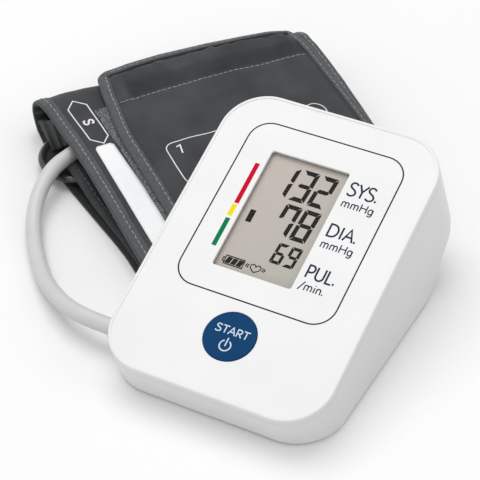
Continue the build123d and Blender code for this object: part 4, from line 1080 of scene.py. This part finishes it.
def make_middle_layer():
    """The bound inner layer that shows between the sleeve's two layers, and over the ring's end."""
    start, end = 35, 125
    along = steps(start, end, 40)

    def edge(v):
        return between(v, [(35, -3.6), (40, -4.4), (52, -3.9), (62, -3.2), (72, -1.9), (95, 0.2), (114, 1), (126, 0.6)])

    def rise(v):
        return between(v, [(35, 9.2), (52, 9.4), (58, 8.4), (70, 5.4), (84, 4.4), (100, 4), (126, 3.8)])

    def place(run, share, layer):
        u = edge(run) + 55 * share
        v = start + (min(end, near_end(u) - 1.0) - start) * (run - start) / (end - start)
        return cuff_point(v, u, rise(v) + (0.5 * smooth(share * 4) if layer else -1.3))

    layer = closed_sheet("cuff_middle", place, (1, 0), along, steps(0, 1, 10), "nylon")
    frames = frames_along([cuff_point(v, edge(v), rise(v) - 0.65) for v in along])
    # the middle layer's tape and stitches take the darker copies: painted shade
    sweep("binding_middle", frames, tape(0.65, TAPE_W), "binding_painted_shade")
    stitches("stitches_middle", frames, 3.4, 1.15, thread="thread_painted_shade")


def make_ring_cloth():
    """Black webbing that fills the ring where it stands out of the cuff."""

    def place(degrees, share, h):
        turn = radians(degrees)
        reach = 17.0 * share
        sag = 0.7 * (1 - share ** 2)
        return cuff_point(32 + reach * sin(turn), 5.6 - reach * cos(turn), 5.4 - sag + h)

    cloth = closed_sheet("ring_webbing", place, (0.5, -0.5), steps(-90, 90, 20), [0.02, 0.3, 0.6, 0.85, 1.0], "strap")


def make_lining_fold():
    """A loose fold of the lining that hangs into the open end beside the far fold."""
    top_left, top_right, low_left, low_right, toward = map(Vector, (
        (2, -4.4, 9.6), (17, 1, 18.2), (22.5, -5, 5), (31, 0.6, 13), (0.70, -0.31, 0.65)))

    def place(down, across, h):
        left = top_left.lerp(low_left, down)
        right = top_right.lerp(low_right, down)
        wave = (across * 2.3 + 0.25 * down + 0.12) % 1.0
        ridge = wave / 0.65 if wave < 0.65 else (1 - wave) / 0.35
        pleat = 3.2 * (ridge - 0.5) * (0.35 + 0.65 * down)
        droop = 1.2 * sin(across * pi) * down
        point = left.lerp(right, across) + toward * (pleat + h - droop)
        return cuff_point(point.x, point.y, max(4.2, point.z))

    fold = closed_sheet("lining_fold", place, (0.35, -0.35), steps(0, 1, 14), steps(0, 1, 30), "fold",
                        slot="lining_grey")


# ============ print on the cuff

def on_sleeve(v, u, h):
    run = near_end(u)
    s = (run - v) / (run - FOLD_R) if v > FOLD_R else 1 + (FOLD_R - v) / FOLD_R * 0.45
    return sleeve_point(s, u, -0.10) + UP * h * MM


def on_flap(v, u, h):
    return cuff_point(v, u, flap_top(v, u) + 0.10 + h)


def finely(line, step=2.0):
    """The same line with points no further apart than step, so that it follows the cloth."""
    points = [line[0]]
    for (x0, y0), (x1, y1) in zip(line, line[1:]):
        parts = max(1, ceil(hypot(x1 - x0, y1 - y0) / step))
        points += [(x0 + (x1 - x0) * i / parts, y0 + (y1 - y0) * i / parts) for i in range(1, parts + 1)]
    return points


def make_cuff_print():
    size_mark = [(14.7, 11.3), (19.1, 16.5), (41.3, 17.5), (45.3, 13.7), (41.1, 8.7), (19.7, 7.0), (14.7, 11.3)]
    letter = [(30.4 + (x - 30) * 0.05, 12.7 + (y - 50) * 0.045) for x, y in S_CURLED]
    ribbons("size_mark", [finely(size_mark)], 0.6, on_sleeve, "ink_white")
    ribbons("size_letter", [letter], 1.0, on_sleeve, "ink_white")
    start = 46.2

    def band(v, share, h):
        corner = 1.2 * (1 - smooth((v - start) / 1.5))
        left = 8.6 + corner
        right = between(v, [(start, 17.6), (60, 18.3), (76, 19.3)]) - corner
        return on_sleeve(v, left + (right - left) * share, h)

    closed_sheet("white_band", band, (0.05, -0.12), steps(start, 119, 60), steps(0, 1, 6), "band")
    frame = [(v + (0.06 - 0.11 * (v - 60.2) / 29.8) * (u - 42.6), u) for v, u in round_box(60.2, 90.0, 36.9, 99.0, 5.2)]
    numbers = [[(63.7, 42.0), (63.1, 44.1), (68.6, 43.1)]]
    numbers += [[(85.6 - (y - 50) * 0.052, 41.2 + x * 0.05) for x, y in line] for line in LETTERS["2"][1]]
    ribbons("step_box", [finely(frame)], 0.55, on_flap, "ink_white")
    ribbons("step_numbers", [finely(line, 1.0) for line in numbers], 0.75, on_flap, "ink_white")
    ribbons("step_loop", [finely(arc(68.6, 111.7, 6.2, 5.1, 0, 360, 40))], 0.5, on_flap, "ink_white")


# ============ run

make_materials()
make_camera()
make_hose()
make_world()
make_floor()
make_lamps()
dress_nodes()
make_face_print()
make_button_print()
make_display_signs()
make_sleeve()
make_flap()
make_pile()
make_sleeve_bindings()
make_flap_binding()
make_hem_stitches()
make_middle_layer()
make_ring_cloth()
make_lining_fold()
make_cuff_print()
